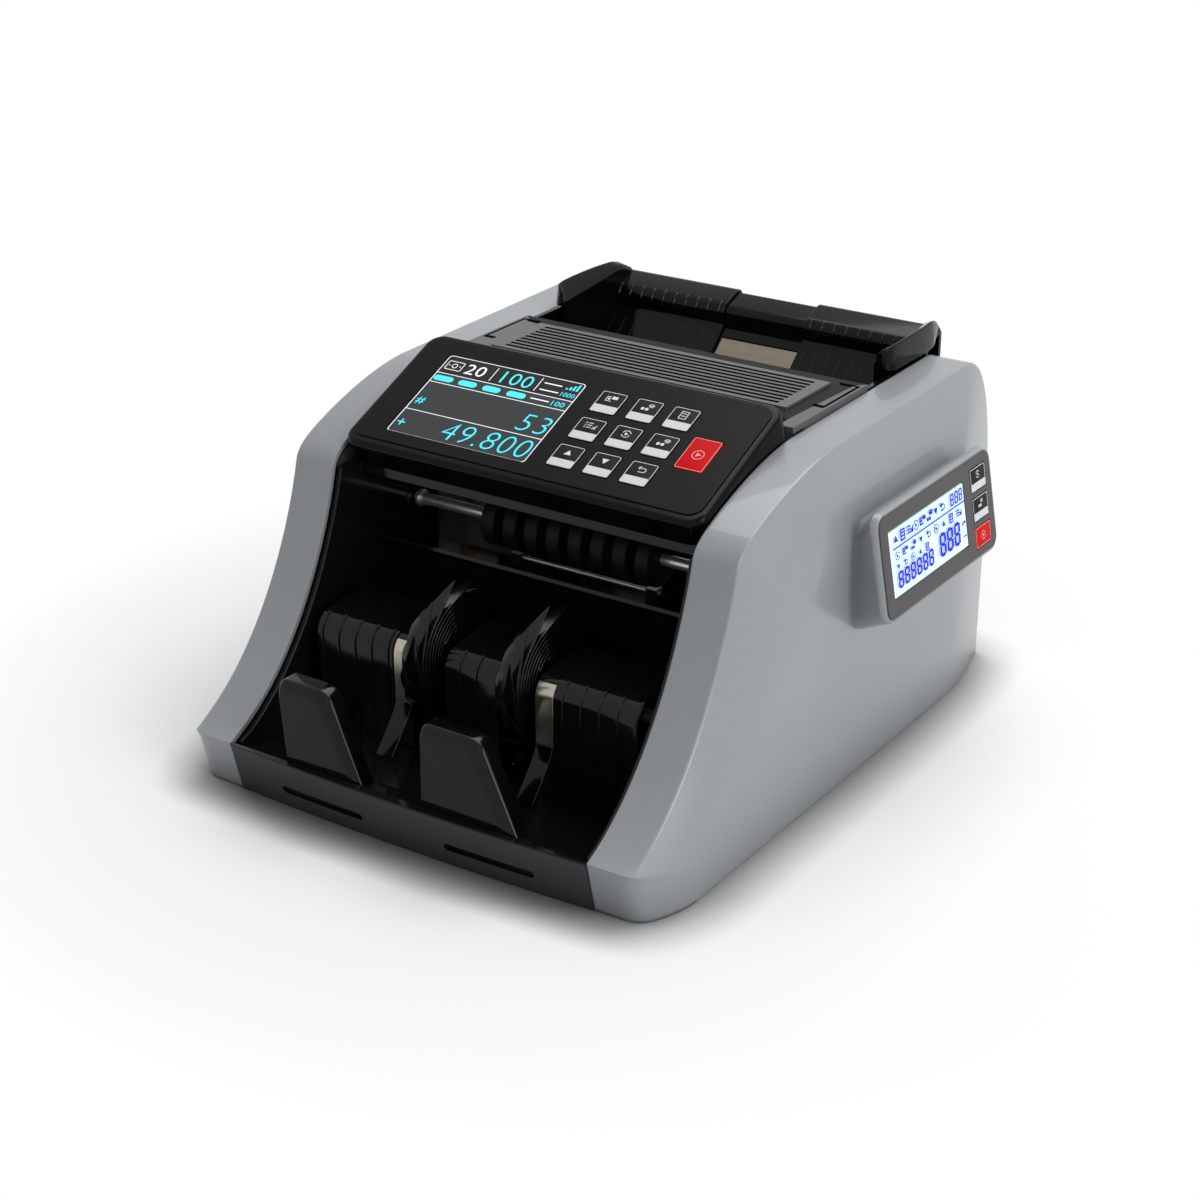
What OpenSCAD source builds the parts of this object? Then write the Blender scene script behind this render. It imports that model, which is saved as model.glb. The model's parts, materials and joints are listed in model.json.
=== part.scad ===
// Desktop banknote counting machine: rear hopper, roller transport, spiral stacker wheels,
// sloping control panel and a second display on the right side.
// Frame: x = 0 is the plane of symmetry, +Y runs to the rear, +Z is up, z = 0 is the table.

/* [Body] */
// Overall width of the housing at the table
body_w = 270; // [255:1:290]
// Overall depth from the front lip to the rear wall
body_d = 346; // [336:1:360]
// Height of the side covers
body_h = 172.6; // [168:0.2:180]
// Wall of the moulded covers
wall = 2.5; // [1.8:0.1:3]
// Clear width of the front opening between the side covers
opening_w = 204; // [200:1:208]
// Height of the front lip
lip_h = 27.3; // [24:0.1:30]
// Depth of the front lip at its top
lip_t = 4.5; // [3:0.1:6]
// How far the foot of the lip is set back from its top edge
lip_rake = 7; // [3:0.5:9]
// How far the rubber feet stand proud of the skirt
foot_proud = 0.2; // [0.1:0.05:0.25]
// Diameter of a rubber foot
foot_d = 18; // [12:1:24]
// Bottom plate of the base
base_floor = 2.5; // [2:0.1:3]
// Gap left between neighbouring parts
gap = 0.3; // [0.2:0.05:0.4]

/* [Cover profile] */
// Horizontal run of the front sweep, from the lip to the shoulder
sweep_run = 84; // [80:1:88]
// How far the shoulder lies below the top of the cover
shoulder_drop = 32.6; // [28:0.2:36]
// Inset of the outer edge of the front band from the full half width
edge_in = 10; // [8:0.5:12]
// Depth of the rear rounding of the covers
rear_round = 35; // [30:1:40]
// Height of the crease below the top edge along the side
crease_drop = 40; // [36:1:44]

/* [Control panel] */
// Width of the panel overlay
panel_w = 196; // [192:1:198]
// Length of the panel overlay up its slope
panel_l = 75.5; // [74:0.5:80]
// Slope of the panel in degrees
panel_slope = 23.3; // [20:0.5:26]
// Distance from the front lip to the lower edge of the overlay
panel_back = 97.4; // [96:0.2:99]
// How far the lower edge of the overlay lies below the top of the covers
panel_drop = 16.2; // [14:0.2:17]
// Thickness of the panel housing
panel_t = 14; // [12:0.5:14.5]
// Thickness of the overlay film
film_t = 0.6; // [0.4:0.1:0.9]
// Width of the colour display window
screen_w = 82; // [70:1:84]
// Height of the colour display window
screen_l = 57.8; // [50:0.5:60]

/* [Keys] */
// Width of a square key
key_w = 14.4; // [12:0.2:16]
// Length of a square key
key_l = 15; // [12:0.2:16]
// Pitch of the keys across the panel
key_pitch_u = 20.1; // [18:0.1:21]
// Pitch of the keys up the panel
key_pitch_v = 19.6; // [18:0.1:21]
// Width of the start key
start_w = 15.3; // [12:0.1:16]
// Length of the start key
start_l = 21.3; // [18:0.1:24]
// Travel of a key
key_travel = 0.4; // [0.3:0.05:0.5]

/* [Lid] */
// Length of the ribbed lid behind the panel
lid_l = 73.5; // [70:0.5:75]
// Thickness of the lid plate
lid_t = 3; // [2.5:0.1:4]
// Number of grooves in the lid
lid_grooves = 9; // [6:1:12]
// Pitch of the grooves
groove_pitch = 4.3; // [3.8:0.1:4.4]

/* [Hopper] */
// Height of the hopper bar above the top of the side covers
bar_rise = 5.3; // [4:0.1:7]
// Slope of the hopper floor in degrees
hopper_slope = 41.4; // [38:0.2:44]
// Wall of the hopper tray
tray_t = 2.5; // [2:0.1:3]
// Thickness of a note guide
guide_t = 1.3; // [1.1:0.1:1.8]
// Distance from the middle to the inner end of a note guide
guide_in = 24.5; // [23.5:0.5:28]
// Distance from the side of the opening to the side plate of a note guide
guide_inset = 9.5; // [8:0.5:14]
// Pitch of the ribs on a note guide
rib_pitch = 7.1; // [6:0.1:8]
// Height of the ribs on a note guide
rib_h = 0.6; // [0.4:0.1:0.8]

/* [Stacker] */
// Radius of a stacker wheel
wheel_r = 40; // [36:0.5:41]
// Width of a stacker wheel
wheel_w = 9; // [7:0.5:10]
// Distance from the middle to each stacker wheel
wheel_x = 27; // [26:0.5:28]
// Number of arms on a stacker wheel
wheel_arms = 12; // [8:1:14]
// Height of the stacker shaft
stack_z = 62; // [60:0.5:64]
// Distance of the stacker shaft from the front lip
stack_back = 80; // [78:0.5:82]
// Height of a front stop above the lip
stop_h = 41; // [30:0.5:50]
// Width of a front stop at its foot
stop_w = 47; // [40:0.5:52]

/* [Drive] */
// Radius of the steel shafts
shaft_r = 3; // [2.5:0.1:3.5]
// Radius of the exit rollers
disc_r = 14; // [12:0.5:15]
// Number of exit rollers
disc_n = 8; // [6:1:9]
// Width of an exit roller
disc_w = 8; // [6:0.5:9]
// Radius of the drive and feed rollers
roller_r = 17; // [15:0.5:18]
// Radius of the pickup rollers
pickup_r = 13; // [11:0.5:14]
// Gear module
gear_m = 2; // [1.9:0.05:2.05]
// Teeth on each gear of the pair
gear_n = 28; // [24:4:28]
// Width of a gear
gear_w = 6; // [4:0.5:8]
// Room beside the opening that the frames and flanges take from the two belts
belt_room = 21; // [20:0.5:22]
// Thickness of a belt
belt_t = 1.4; // [1:0.1:2]
// Outer radius of the motor
motor_r = 26; // [22:0.5:28]
// Length of the motor
motor_l = 62; // [50:1:66]
// Thickness of the steel side frames
frame_t = 2; // [1.5:0.1:2.5]
// Outer radius of the shaft bushes
bush_r = 6; // [5:0.1:6.5]

/* [Side display] */
// Length of the side display plate
side_l = 116; // [108:1:118]
// Height of the side display plate
side_h = 50; // [46:0.5:52]
// Backward tilt of the side display in degrees
side_tilt = 10; // [6:0.5:12]
// Reach of the side display beyond the cover, at its middle
side_reach = 18; // [16:0.5:22]
// Height of the middle of the side display
side_z = 115; // [110:0.5:116]
// Distance of its middle from the rear wall
side_back = 114; // [105:0.5:116]
// How much shorter the window is than the side display
lcd_short = 37.4; // [36:0.2:46]
// Height of the side display window
lcd_h = 32.6; // [28:0.2:34]

/* [Rear] */
// Width of the mains inlet module
inlet_w = 28; // [26:0.5:30]
// Height of the mains inlet module
inlet_h = 58; // [54:0.5:60]
// Throw of the power switch in degrees
switch_throw = 16; // [10:1:20]

/* [Hidden] */

black = [0.05, 0.05, 0.055];
soft_black = [0.12, 0.12, 0.125];
housing_grey = [0.55, 0.58, 0.60];
lid_grey = [0.33, 0.34, 0.34];
steel = [0.72, 0.73, 0.75];
zinc = [0.62, 0.63, 0.62];
beige_metal = [0.58, 0.54, 0.46];
rubber_black = [0.09, 0.09, 0.09];
brass = [0.72, 0.55, 0.30];
board_green = [0.05, 0.30, 0.14];
key_grey = [0.70, 0.71, 0.72];
red = [0.78, 0.10, 0.10];
lcd_pale = [0.80, 0.94, 0.97];

half_w = body_w / 2;
half_open = opening_w / 2;
front_y = -body_d / 2;
rear_y = body_d / 2;
step = 0.01;
big = 1000;

// ---------- curves ----------

// One coordinate of a cubic Bezier curve
function bez(a, b, c, d, t) =
    a * pow(1 - t, 3) + 3 * b * t * pow(1 - t, 2) + 3 * c * t * t * (1 - t) + d * pow(t, 3);
// A curve from p to q, without its last point; h and k are its handles as shares of the box from p to q
function sweep(p, q, h, k, n) = [for (i = [0 : n - 1])
    [bez(p.x, p.x + (q.x - p.x) * h.x, p.x + (q.x - p.x) * k.x, q.x, i / n),
     bez(p.y, p.y + (q.y - p.y) * h.y, p.y + (q.y - p.y) * k.y, q.y, i / n)]];
// An even run from p to q, without its last point
function run(p, q, n) = [for (i = [0 : n - 1]) p + (q - p) * i / n];
// Points on an arc about c, both ends included
function arc(c, r, a0, a1, n) = [for (i = [0 : n]) c + r * [cos(a0 + (a1 - a0) * i / n), sin(a0 + (a1 - a0) * i / n)]];
function unit(v) = v / max(norm(v), step * step);
// The path p moved to its right by d
function beside(p, d) = [for (i = [0 : len(p) - 1])
    let (t = unit(p[min(i + 1, len(p) - 1)] - p[max(i - 1, 0)])) p[i] + d * [t.y, -t.x]];
function reversed(p) = [for (i = [len(p) - 1 : -1 : 0]) p[i]];
// A closed strip between two offsets of a path
function strip(p, d0, d1) = concat(beside(p, d0), reversed(beside(p, d1)));

// ---------- housing profile, [y, z] from the foot of the lip over the top to the rear ----------

lip_top = [front_y + 3.5, lip_h];
shoulder = lip_top + [sweep_run, body_h - lip_h - shoulder_drop];
brow = shoulder + [25, 17];
crown = [shoulder.x + 85, body_h - 1.6];
tail = [rear_y - rear_round, body_h];
heel = [rear_y - 3, body_h - 52];
profile = concat(
    run([lip_top.x + lip_rake, 0], lip_top, 3),
    sweep(lip_top, shoulder, [0.494, 0.148], [0.863, 0.60], 12),
    sweep(shoulder, brow, [0.06, 0.40], [0.38, 0.64], 4),
    sweep(brow, crown, [0.31, 0.50], [0.64, 0.90], 5),
    run(crown, tail, 2),
    sweep(tail, heel, [0.47, 0], [0.84, 0.28], 8),
    run(heel, [rear_y, body_h / 3], 2),
    [[rear_y, body_h / 3], [rear_y, 0]]);

// The crease loop on the side, point for point with the profile
crease_top = body_h - crease_drop;
crease_foot = [lip_top.x + 27, 21];
crease_mid = crease_foot + [sweep_run + 3, 70];
crease = concat(
    run([crease_foot.x + 5, 0], crease_foot, 3),
    run(crease_foot, crease_mid, 12),
    run(crease_mid, crease_mid + [16, 17], 4),
    sweep(crease_mid + [16, 17], [crown.x, crease_top], [0.4, 0.42], [0.7, 0.9], 5),
    run([crown.x, crease_top], [tail.x - 18, crease_top], 2),
    sweep([tail.x - 18, crease_top], [rear_y - 47, crease_top - 32], [0.6, 0], [1, 0.5], 8),
    run([rear_y - 47, crease_top - 32], [rear_y - 47, body_h / 3], 2),
    [[rear_y - 47, body_h / 3], [rear_y - 47, 0]]);

// A path with its two ends brought down to the foot of the covers
function footed(p) = [for (i = [0 : len(p) - 1]) i == 0 || i == len(p) - 1 ? [p[i].x, foot_proud] : p[i]];
function at_x(x, p) = [for (v = p) [x, v.x, v.y]];
// Four rings from the open inner side over the edge and the bevel to the side face, d inside the skin
function cover_rings(d) =
    let (o = footed(beside(profile, d)), q = footed(beside(crease, d)))
    concat(at_x(half_open, o), at_x(half_w - edge_in - d, o), at_x(half_w - edge_in * 0.42 - d, (o + q) / 2),
        at_x(half_w - d, q));
function halves(f) = [[f[0], f[1], f[2]], [f[0], f[2], f[3]]];

// One side cover: an outer and an inner skin, joined by a rim round the open side and the foot
module cover_form() {
    n = len(profile);
    last = n - 1;
    k = 4 * n;
    outer = [for (r = [0 : 2], i = [0 : last - 1])
        [r * n + i, r * n + i + 1, (r + 1) * n + i + 1, (r + 1) * n + i]];
    inner = [for (f = outer) [k + f[3], k + f[2], k + f[1], k + f[0]]];
    open_rim = [for (i = [0 : last - 1]) [i + 1, i, k + i, k + i + 1]];
    front_rim = [for (r = [0 : 2]) [r * n, (r + 1) * n, k + (r + 1) * n, k + r * n]];
    rear_rim = [for (r = [0 : 2])
        [(r + 1) * n + last, r * n + last, k + r * n + last, k + (r + 1) * n + last]];
    side_rim = [[3 * n, 3 * n + last, k + 3 * n + last, k + 3 * n]];
    quads = concat(outer, inner, open_rim, front_rim, rear_rim, side_rim);
    // the side faces start on the curve of the shoulder, where no three points are in line
    apex = 21;
    side_face = [for (i = [0 : last]) 3 * n + (apex + i) % n];
    inner_face = [for (i = [0 : last]) k + 3 * n + (apex + n - i) % n];
    polyhedron(concat(cover_rings(0), cover_rings(wall)),
        concat([for (f = quads, t = halves(f)) t], [side_face, inner_face]));
}

// A plate normal to X from a [y, z] outline, between two x places
module plate_x(points, x0, x1) {
    translate([x0, 0, 0])
        rotate([90, 0, 90])
            linear_extrude(x1 - x0)
                polygon(points);
}

// A round bar along X
module bar_x(x0, x1, r, y, z) {
    translate([x0, y, z])
        rotate([0, 90, 0])
            cylinder(h = x1 - x0, r = r, $fn = 64);
}

module box(x0, x1, y0, y1, z0, z1) {
    translate([x0, y0, z0])
        cube([x1 - x0, y1 - y0, z1 - z0]);
}

// A flat rounded block, corner at the origin
module rounded(w, l, t, r) {
    translate([r, 0, 0])
        cube([w - 2 * r, l, t]);
    translate([0, r, 0])
        cube([w, l - 2 * r, t]);
    for (x = [r, w - r], y = [r, l - r])
        translate([x, y, 0])
            cylinder(h = t, r = r, $fn = 48);
}

module right_side_cover() color(housing_grey) cover_form();
module left_side_cover() color(housing_grey) mirror([1, 0, 0]) cover_form();

// ---------- base ----------

skirt_x = half_w - wall - gap;
floor_z = foot_proud + base_floor;
lip_in_y = front_y + lip_t;
plan_r = (pow(half_open, 2) + 9) / 6;
base_front = lip_in_y + 13;
base_rear = rear_y - wall - gap;
foot_x = half_w - 24;
foot_y = [front_y + 42, rear_y - 28];
foot_h = 1.4;
lip_foot_y = front_y + lip_rake + 5.5;

// Half of the base outline, [x, y]
base_half = [[0, lip_foot_y - 0.5], [half_open - gap, lip_foot_y - 0.5], [half_open - gap, base_front - 1],
    [half_w - 19, base_front], [skirt_x - 6, front_y + 38], [skirt_x, front_y + 46], [skirt_x, rear_y - 55],
    [skirt_x - 4.6, rear_y - 31], [skirt_x - 11, base_rear - 5],
    [half_open - 1.5, base_rear - 5], [half_open - 1.5, base_rear], [0, base_rear]];

module base_outline() {
    polygon(base_half);
    mirror([1, 0])
        polygon(base_half);
}

module base_tray() color(soft_black) {
    difference() {
        union() {
            translate([0, 0, foot_proud])
                linear_extrude(base_floor)
                    base_outline();
            // front lip, bowed in plan and raked back to its foot in line with the covers
            intersection() {
                plate_x([[front_y - 1, foot_proud], [front_y - 1, lip_h], [lip_in_y, lip_h],
                    [lip_foot_y, floor_z], [lip_foot_y, foot_proud]], -half_open + gap, half_open - gap);
                translate([0, front_y + plan_r, foot_proud])
                    cylinder(h = lip_h - foot_proud, r1 = plan_r - lip_rake, r2 = plan_r, $fn = 400);
            }
        }
        for (s = [-1, 1], y = foot_y)
            translate([s * foot_x, y, -step])
                cylinder(h = foot_h + foot_proud + step, r = foot_d / 2 + 0.2, $fn = 64);
        // two finger slots in the face of the lip
        for (s = [-1, 1])
            box(s * 48 - 24, s * 48 + 24, front_y - 1, front_y + lip_rake, lip_h / 2 - 4.6, lip_h / 2 - 1.6);
    }
}

module rubber_feet() color(rubber_black)
    for (s = [-1, 1], y = foot_y)
        translate([s * foot_x, y, 0])
            cylinder(h = foot_h + foot_proud, r = foot_d / 2, $fn = 64);

// ---------- shafts and their places ----------

stack_y = front_y + stack_back;
exit_y = front_y + 148.2;
exit_z = 106.4;
gear_lean = 15;
gear_reach = gear_m * gear_n;
drive_y = exit_y + gear_reach * cos(gear_lean);
drive_z = exit_z - gear_reach * sin(gear_lean);
feed_y = drive_y + 58;
feed_z = 92;
motor_y = drive_y + 6;
motor_z = floor_z + motor_r + 6;

frame_in = half_open + 2;
frame_out = frame_in + frame_t;
inner_x = half_open - 3.2;

// ---------- hopper ----------

bar_top = body_h + bar_rise;
floor_top = [rear_y - 22, bar_top - 17];
floor_dir = [cos(hopper_slope), sin(hopper_slope)];
floor_len = 74;
floor_low = floor_top - floor_len * floor_dir;
bar_face = floor_top.x + 1;
// Upper surface of the tray, from the low end of the floor up, over the bar and down its back
tray_path = concat(
    [floor_low, floor_top - 6 * floor_dir],
    [floor_top + [0.3, 0.8]],
    [[bar_face, floor_top.y + 6]],
    arc([bar_face + 5.5, bar_top - 9], 5.5, 180, 112, 5),
    [[rear_y - 7.5, bar_top - 0.3]],
    arc([rear_y - 6.5, bar_top - 3], 2.7, 75, 0, 4),
    [[rear_y - 3.8, bar_top - 14]]);
tray_back_z = 118;
pickup_at = floor_top - 41 * floor_dir;
pickup_y = pickup_at.x + (pickup_r - 2.5) * floor_dir.y;
pickup_z = pickup_at.y - (pickup_r - 2.5) * floor_dir.x;
hopper_half = half_open - 0.7;
pickup_x = [-3.5, 3.5];
pickup_w = 5;
slot_w = 15;

module hopper_tray() color(black) {
    difference() {
        union() {
            plate_x(strip(tray_path, 0, tray_t), -hopper_half, hopper_half);
            // rear wall below the bar
            box(-hopper_half, hopper_half, rear_y - 3.8 - tray_t, rear_y - 3.8, tray_back_z, bar_top - 13);
            // side walls up to the covers
            for (s = [-1, 1])
                plate_x([floor_low + [0, -4], [floor_low.x, body_h - 12], [lid_back + 1, body_h - 12],
                    [lid_back + 1, body_h], [floor_top.x + 2, body_h], [rear_y - 6, body_h],
                    [rear_y - 6, tray_back_z], [floor_top.x, tray_back_z]],
                    s > 0 ? hopper_half - tray_t : -hopper_half, s > 0 ? hopper_half : -hopper_half + tray_t);
        }
        pickup_slot();
        // room for the pickup shaft in the side walls
        bar_x(-half_open, -half_open + 8, bush_r + 2, pickup_y, pickup_z);
        bar_x(half_open - 8, half_open, bush_r + 2, pickup_y, pickup_z);
        // seat of the metal plate
        plate_x(strip([floor_low - floor_dir, floor_top - 4 * floor_dir], -0.1, plate_t + 0.1), -plate_x_half - 0.2,
            plate_x_half + 0.2);
    }
}

plate_t = 0.8;
plate_x_half = guide_in - 1.5;

// Opening in the hopper floor for the pickup rollers
module pickup_slot() {
    translate([0, pickup_at.x, pickup_at.y])
        rotate([hopper_slope, 0, 0])
            cube([slot_w, 2 * pickup_r - 4, 12], center = true);
}

module hopper_plate() color(beige_metal)
    difference() {
        plate_x(strip([floor_low, floor_top - 5 * floor_dir], -0.05, plate_t), -plate_x_half, plate_x_half);
        pickup_slot();
    }

// Path of a guide: the tray's surface from half way up its floor to the top of the bar
guide_path = concat(
    [floor_top - 66 * floor_dir, floor_top - 6 * floor_dir],
    [floor_top + [0.3, 0.8]],
    [[bar_face, floor_top.y + 6]],
    arc([bar_face + 5.5, bar_top - 9], 5.5, 180, 112, 5),
    [[rear_y - 7.5, bar_top - 0.3]],
    arc([rear_y - 6.5, bar_top - 3], 2.7, 75, 0, 4),
    [[rear_y - 3.8, bar_top - 8]]);
guide_out = half_open - guide_inset;
guide_ribs = floor((guide_out - guide_in - 4) / rib_pitch);
wing_t = 1.6;
wing_front = rear_y - 72;
wing_fold = body_h + 5.5;

module right_guide_form() {
    plate_x(strip(guide_path, -gap - guide_t, -gap), guide_in, guide_out + wing_t);
    for (i = [0 : guide_ribs])
        translate([guide_in + 3.5 + i * rib_pitch, 0, 0])
            plate_x(strip(guide_path, -gap - guide_t - rib_h, -gap - guide_t + 0.2), -0.5, 0.5);
    // side plate, with its lip flared outwards
    difference() {
        plate_x([floor_top - 66 * floor_dir + [-1.2, 1.4], [wing_front, body_h - 40], [wing_front, wing_fold],
            [rear_y - 17, wing_fold], [rear_y - 6, bar_top + 1.4], floor_top + [4, 8], floor_top + [0, 2]],
            guide_out, guide_out + wing_t);
        plate_x(concat(beside(guide_path, -gap), [[rear_y + 10, floor_low.y - 30], floor_low + [-20, -30]]),
            guide_out - 1, guide_out + wing_t + 1);
    }
    translate([guide_out, 0, wing_fold - 0.4])
        rotate([0, 27, 0])
            plate_x([[wing_front, 0], [wing_front, 5.5], [wing_front + 3, 8], [wing_front + 14, 9.2],
                [rear_y - 19, 8.6], [rear_y - 17, 7.6], [rear_y - 15, 0]], 0, wing_t);
}

module right_note_guide() color(black) right_guide_form();
module left_note_guide() color(black) mirror([1, 0, 0]) right_guide_form();

// ---------- rear ----------

rear_x = half_open - 0.5;
inlet_x = -rear_x + 32;
inlet_z = 42;
screw_at = [[-rear_x + 9, 14], [rear_x - 9, 14], [-rear_x + 9, 104], [rear_x - 9, 104]];

module rear_cover() color(soft_black) {
    difference() {
        union() {
            box(-rear_x, rear_x, rear_y - wall, rear_y, foot_proud, tray_back_z - gap);
            // return flange under the hopper tray
            box(-rear_x, rear_x, rear_y - wall - 6, rear_y - wall, tray_back_z - gap - 2, tray_back_z - gap);
            for (p = screw_at)
                translate([p.x, rear_y - wall, p.y])
                    rotate([90, 0, 0])
                        cylinder(h = 5, r = 4, $fn = 48);
        }
        box(inlet_x - inlet_w / 2 - gap, inlet_x + inlet_w / 2 + gap, rear_y - wall - 1, rear_y + 1,
            inlet_z - inlet_h / 2 - gap, inlet_z + inlet_h / 2 + gap);
        for (i = [0 : 8])
            box(10, 70, rear_y - wall - 1, rear_y + 1, 24 + i * 8, 27 + i * 8);
        for (p = screw_at)
            translate([p.x, rear_y + 1, p.y])
                rotate([90, 0, 0])
                    cylinder(h = wall + 8, r = 1.6, $fn = 48);
    }
}

module housing_screws() color(zinc)
    for (p = screw_at)
        translate([p.x, rear_y, p.y])
            rotate([90, 0, 0])
                difference() {
                    union() {
                        cylinder(h = 7, r = 1.5, $fn = 32);
                        translate([0, 0, -2])
                            cylinder(h = 2, r = 3, $fn = 32);
                    }
                    for (a = [0, 90])
                        rotate([0, 0, a])
                            translate([-2, -0.4, -2.01])
                                cube([4, 0.8, 1.2]);
                }

inlet_deep = 24;
switch_h = 20;
switch_z = inlet_z + inlet_h / 2 - 15;
socket_z = inlet_z - inlet_h / 2 + 16;
socket_w = 22;
socket_h = 16;
socket_deep = 16;

module inlet_module() color(black) {
    difference() {
        union() {
            box(inlet_x - inlet_w / 2, inlet_x + inlet_w / 2, rear_y - inlet_deep, rear_y,
                inlet_z - inlet_h / 2, inlet_z + inlet_h / 2);
            box(inlet_x - inlet_w / 2 - 2, inlet_x + inlet_w / 2 + 2, rear_y, rear_y + 1.6,
                inlet_z - inlet_h / 2 - 2, inlet_z + inlet_h / 2 + 2);
        }
        box(inlet_x - socket_w / 2, inlet_x + socket_w / 2, rear_y - socket_deep, rear_y + 2,
            socket_z - socket_h / 2, socket_z + socket_h / 2);
        box(inlet_x - 8, inlet_x + 8, rear_y - 14, rear_y + 2, switch_z - switch_h / 2, switch_z + switch_h / 2);
    }
    for (p = [[-6, -2], [0, 3], [6, -2]])
        box(inlet_x + p.x - 1, inlet_x + p.x + 1, rear_y - socket_deep - step, rear_y - 4,
            socket_z + p.y - 2, socket_z + p.y + 2);
    // pivot of the rocker
    bar_x(inlet_x - 8.2, inlet_x - 6, 1.5, rear_y - 5, switch_z);
    bar_x(inlet_x + 6, inlet_x + 8.2, 1.5, rear_y - 5, switch_z);
}

rocker_w = 15;

module power_switch() color(soft_black)
    translate([0, rear_y - 5, switch_z])
        difference() {
            rotate([-switch_throw / 2, 0, 0])
                plate_x([[-4, -5], [-4, 5], [3.6, 9], [4.6, 9], [3.4, 0], [4.6, -9], [3.6, -9]],
                    inlet_x - rocker_w / 2, inlet_x + rocker_w / 2);
            bar_x(inlet_x - 8, inlet_x + 8, 1.55, 0, 0);
        }

// ---------- inner frame ----------

frame_line = beside(profile, 5.5);
liner_line = beside(profile, 3.2);

module frame_form() {
    difference() {
        intersection() {
            plate_x(frame_line, frame_in, frame_out);
            box(frame_in - 1, frame_out + 1, front_y + 40, rear_y - 16, floor_z, body_h);
        }
        for (s = shaft_places)
            bar_x(frame_in - 1, frame_out + 1, bush_r + 0.05, s.x, s.y);
    }
    // foot flange turned outwards along the base
    box(frame_out, frame_out + 9, front_y + 60, rear_y - 40, floor_z, floor_z + frame_t);
}

shaft_places = [[stack_y, stack_z], [exit_y, exit_z], [drive_y, drive_z], [feed_y, feed_z],
    [pickup_y, pickup_z]];

module right_side_frame() color(zinc)
    difference() {
        frame_form();
        bar_x(frame_in - 1, frame_out + 1, 9, motor_y, motor_z);
    }
module left_side_frame() color(zinc) mirror([1, 0, 0]) frame_form();

module shaft_bushes() color(brass)
    for (s = [-1, 1], p = shaft_places)
        difference() {
            union() {
                bar_x(s > 0 ? frame_in - 0.6 : -frame_out - 0.6, s > 0 ? frame_out + 0.6 : -frame_in + 0.6, bush_r,
                    p.x, p.y);
                bar_x(s > 0 ? frame_in - 1.2 : -frame_in + step, s > 0 ? frame_in - step : -frame_in + 1.2,
                    bush_r + 1.5, p.x, p.y);
            }
            bar_x(s > 0 ? frame_in - 2 : -frame_out - 2, s > 0 ? frame_out + 2 : -frame_in + 2, shaft_r + 0.05,
                p.x, p.y);
        }

stay_at = [[exit_y + 26, 66], [feed_y + 4, 56], [pickup_y + 24, pickup_z - 34]];

module frame_stays() color(steel)
    for (p = stay_at)
        bar_x(-frame_in, frame_in, 4, p.x, p.y);

panel_h = body_h - panel_drop;
liner_top = panel_h - 17;
liner_back = front_y + 166;

module bay_liner() color(black) {
    difference() {
        union() {
            for (s = [-1, 1])
                intersection() {
                    plate_x(liner_line, s > 0 ? inner_x : -half_open + 0.7, s > 0 ? half_open - 0.7 : -inner_x);
                    box(-half_open, half_open, lip_in_y + 4, liner_back, floor_z, liner_top);
                }
            // recessed fascia under the panel and the roof behind it
            box(-inner_x, inner_x, shoulder.x + 18, shoulder.x + 20.5, liner_top - 6, liner_top);
            plate_x([[shoulder.x + 18, liner_top - 6], [shoulder.x + 18, liner_top - 3.5],
                [liner_back, exit_z + 24.5], [liner_back, exit_z + 22]], -inner_x, inner_x);
        }
        for (p = [shaft_places[0], shaft_places[1]])
            bar_x(-half_open, half_open, bush_r + 2, p.x, p.y);
    }
}

// ---------- stacker ----------

stack_floor_z = stack_z - 44;
face_y = stack_y - 20;
// Front face of the stacker, from the floor up and back over the shaft
face_path = concat(
    [[face_y, stack_floor_z + gap], [face_y - 1, stack_z - 8]],
    arc([face_y + 9.5, stack_z + 4], 10.5, 180, 105, 5),
    [[stack_y - 2, stack_z + 15.5], [stack_y + 14, stack_z + 18]]);
// The ribs start and end a little inside the face
rib_path = concat([face_path[0] + [0, 0.6]], [for (i = [1 : len(face_path) - 2]) face_path[i]],
    [face_path[len(face_path) - 1] - [0.6, 0.1]]);
strip_in = 36;
strip_w = 10;
face_out = half_open - 10;
face_t = 2.2;

module stacker_floor() color(black) {
    plate_x([[lip_in_y + gap, lip_h - 0.8], [lip_in_y + 16, stack_floor_z + 3], [front_y + 40, stack_floor_z],
        [exit_y - 20, stack_floor_z], [exit_y - 20, stack_floor_z - 2.5], [front_y + 40, stack_floor_z - 2.5],
        [lip_in_y + 16, stack_floor_z + 0.5], [lip_in_y + 3 + gap, lip_h - 3.2]], -inner_x + gap, inner_x - gap);
    for (s = [-1, 1], y = [front_y + 44, exit_y - 30])
        box(s * 80 - 5, s * 80 + 5, y, y + 6, floor_z, stack_floor_z - 2.4);
}

module ribbed_face(x0, x1, first, count) {
    plate_x(strip(face_path, 0, face_t), x0, x1);
    for (i = [0 : count - 1])
        plate_x(strip(rib_path, -0.8, 0.2), first + i * 10 - 0.5, first + i * 10 + 0.5);
}

module stacker_faces() color(black) {
    ribbed_face(strip_in + strip_w + gap, face_out, 51.2, 5);
    ribbed_face(-15, 15, -7, 2);
    mirror([1, 0, 0])
        ribbed_face(strip_in + strip_w + gap, face_out, 49, 5);
}

module wear_strips() color(beige_metal)
    for (s = [-1, 1])
        plate_x(strip(face_path, 0.6, face_t), s > 0 ? strip_in : -strip_in - strip_w,
            s > 0 ? strip_in + strip_w : -strip_in);

stop_at = [-66, 11];
stop_t = 2.2;
stop_deep = 11;
stop_y = lip_in_y + gap;

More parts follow.
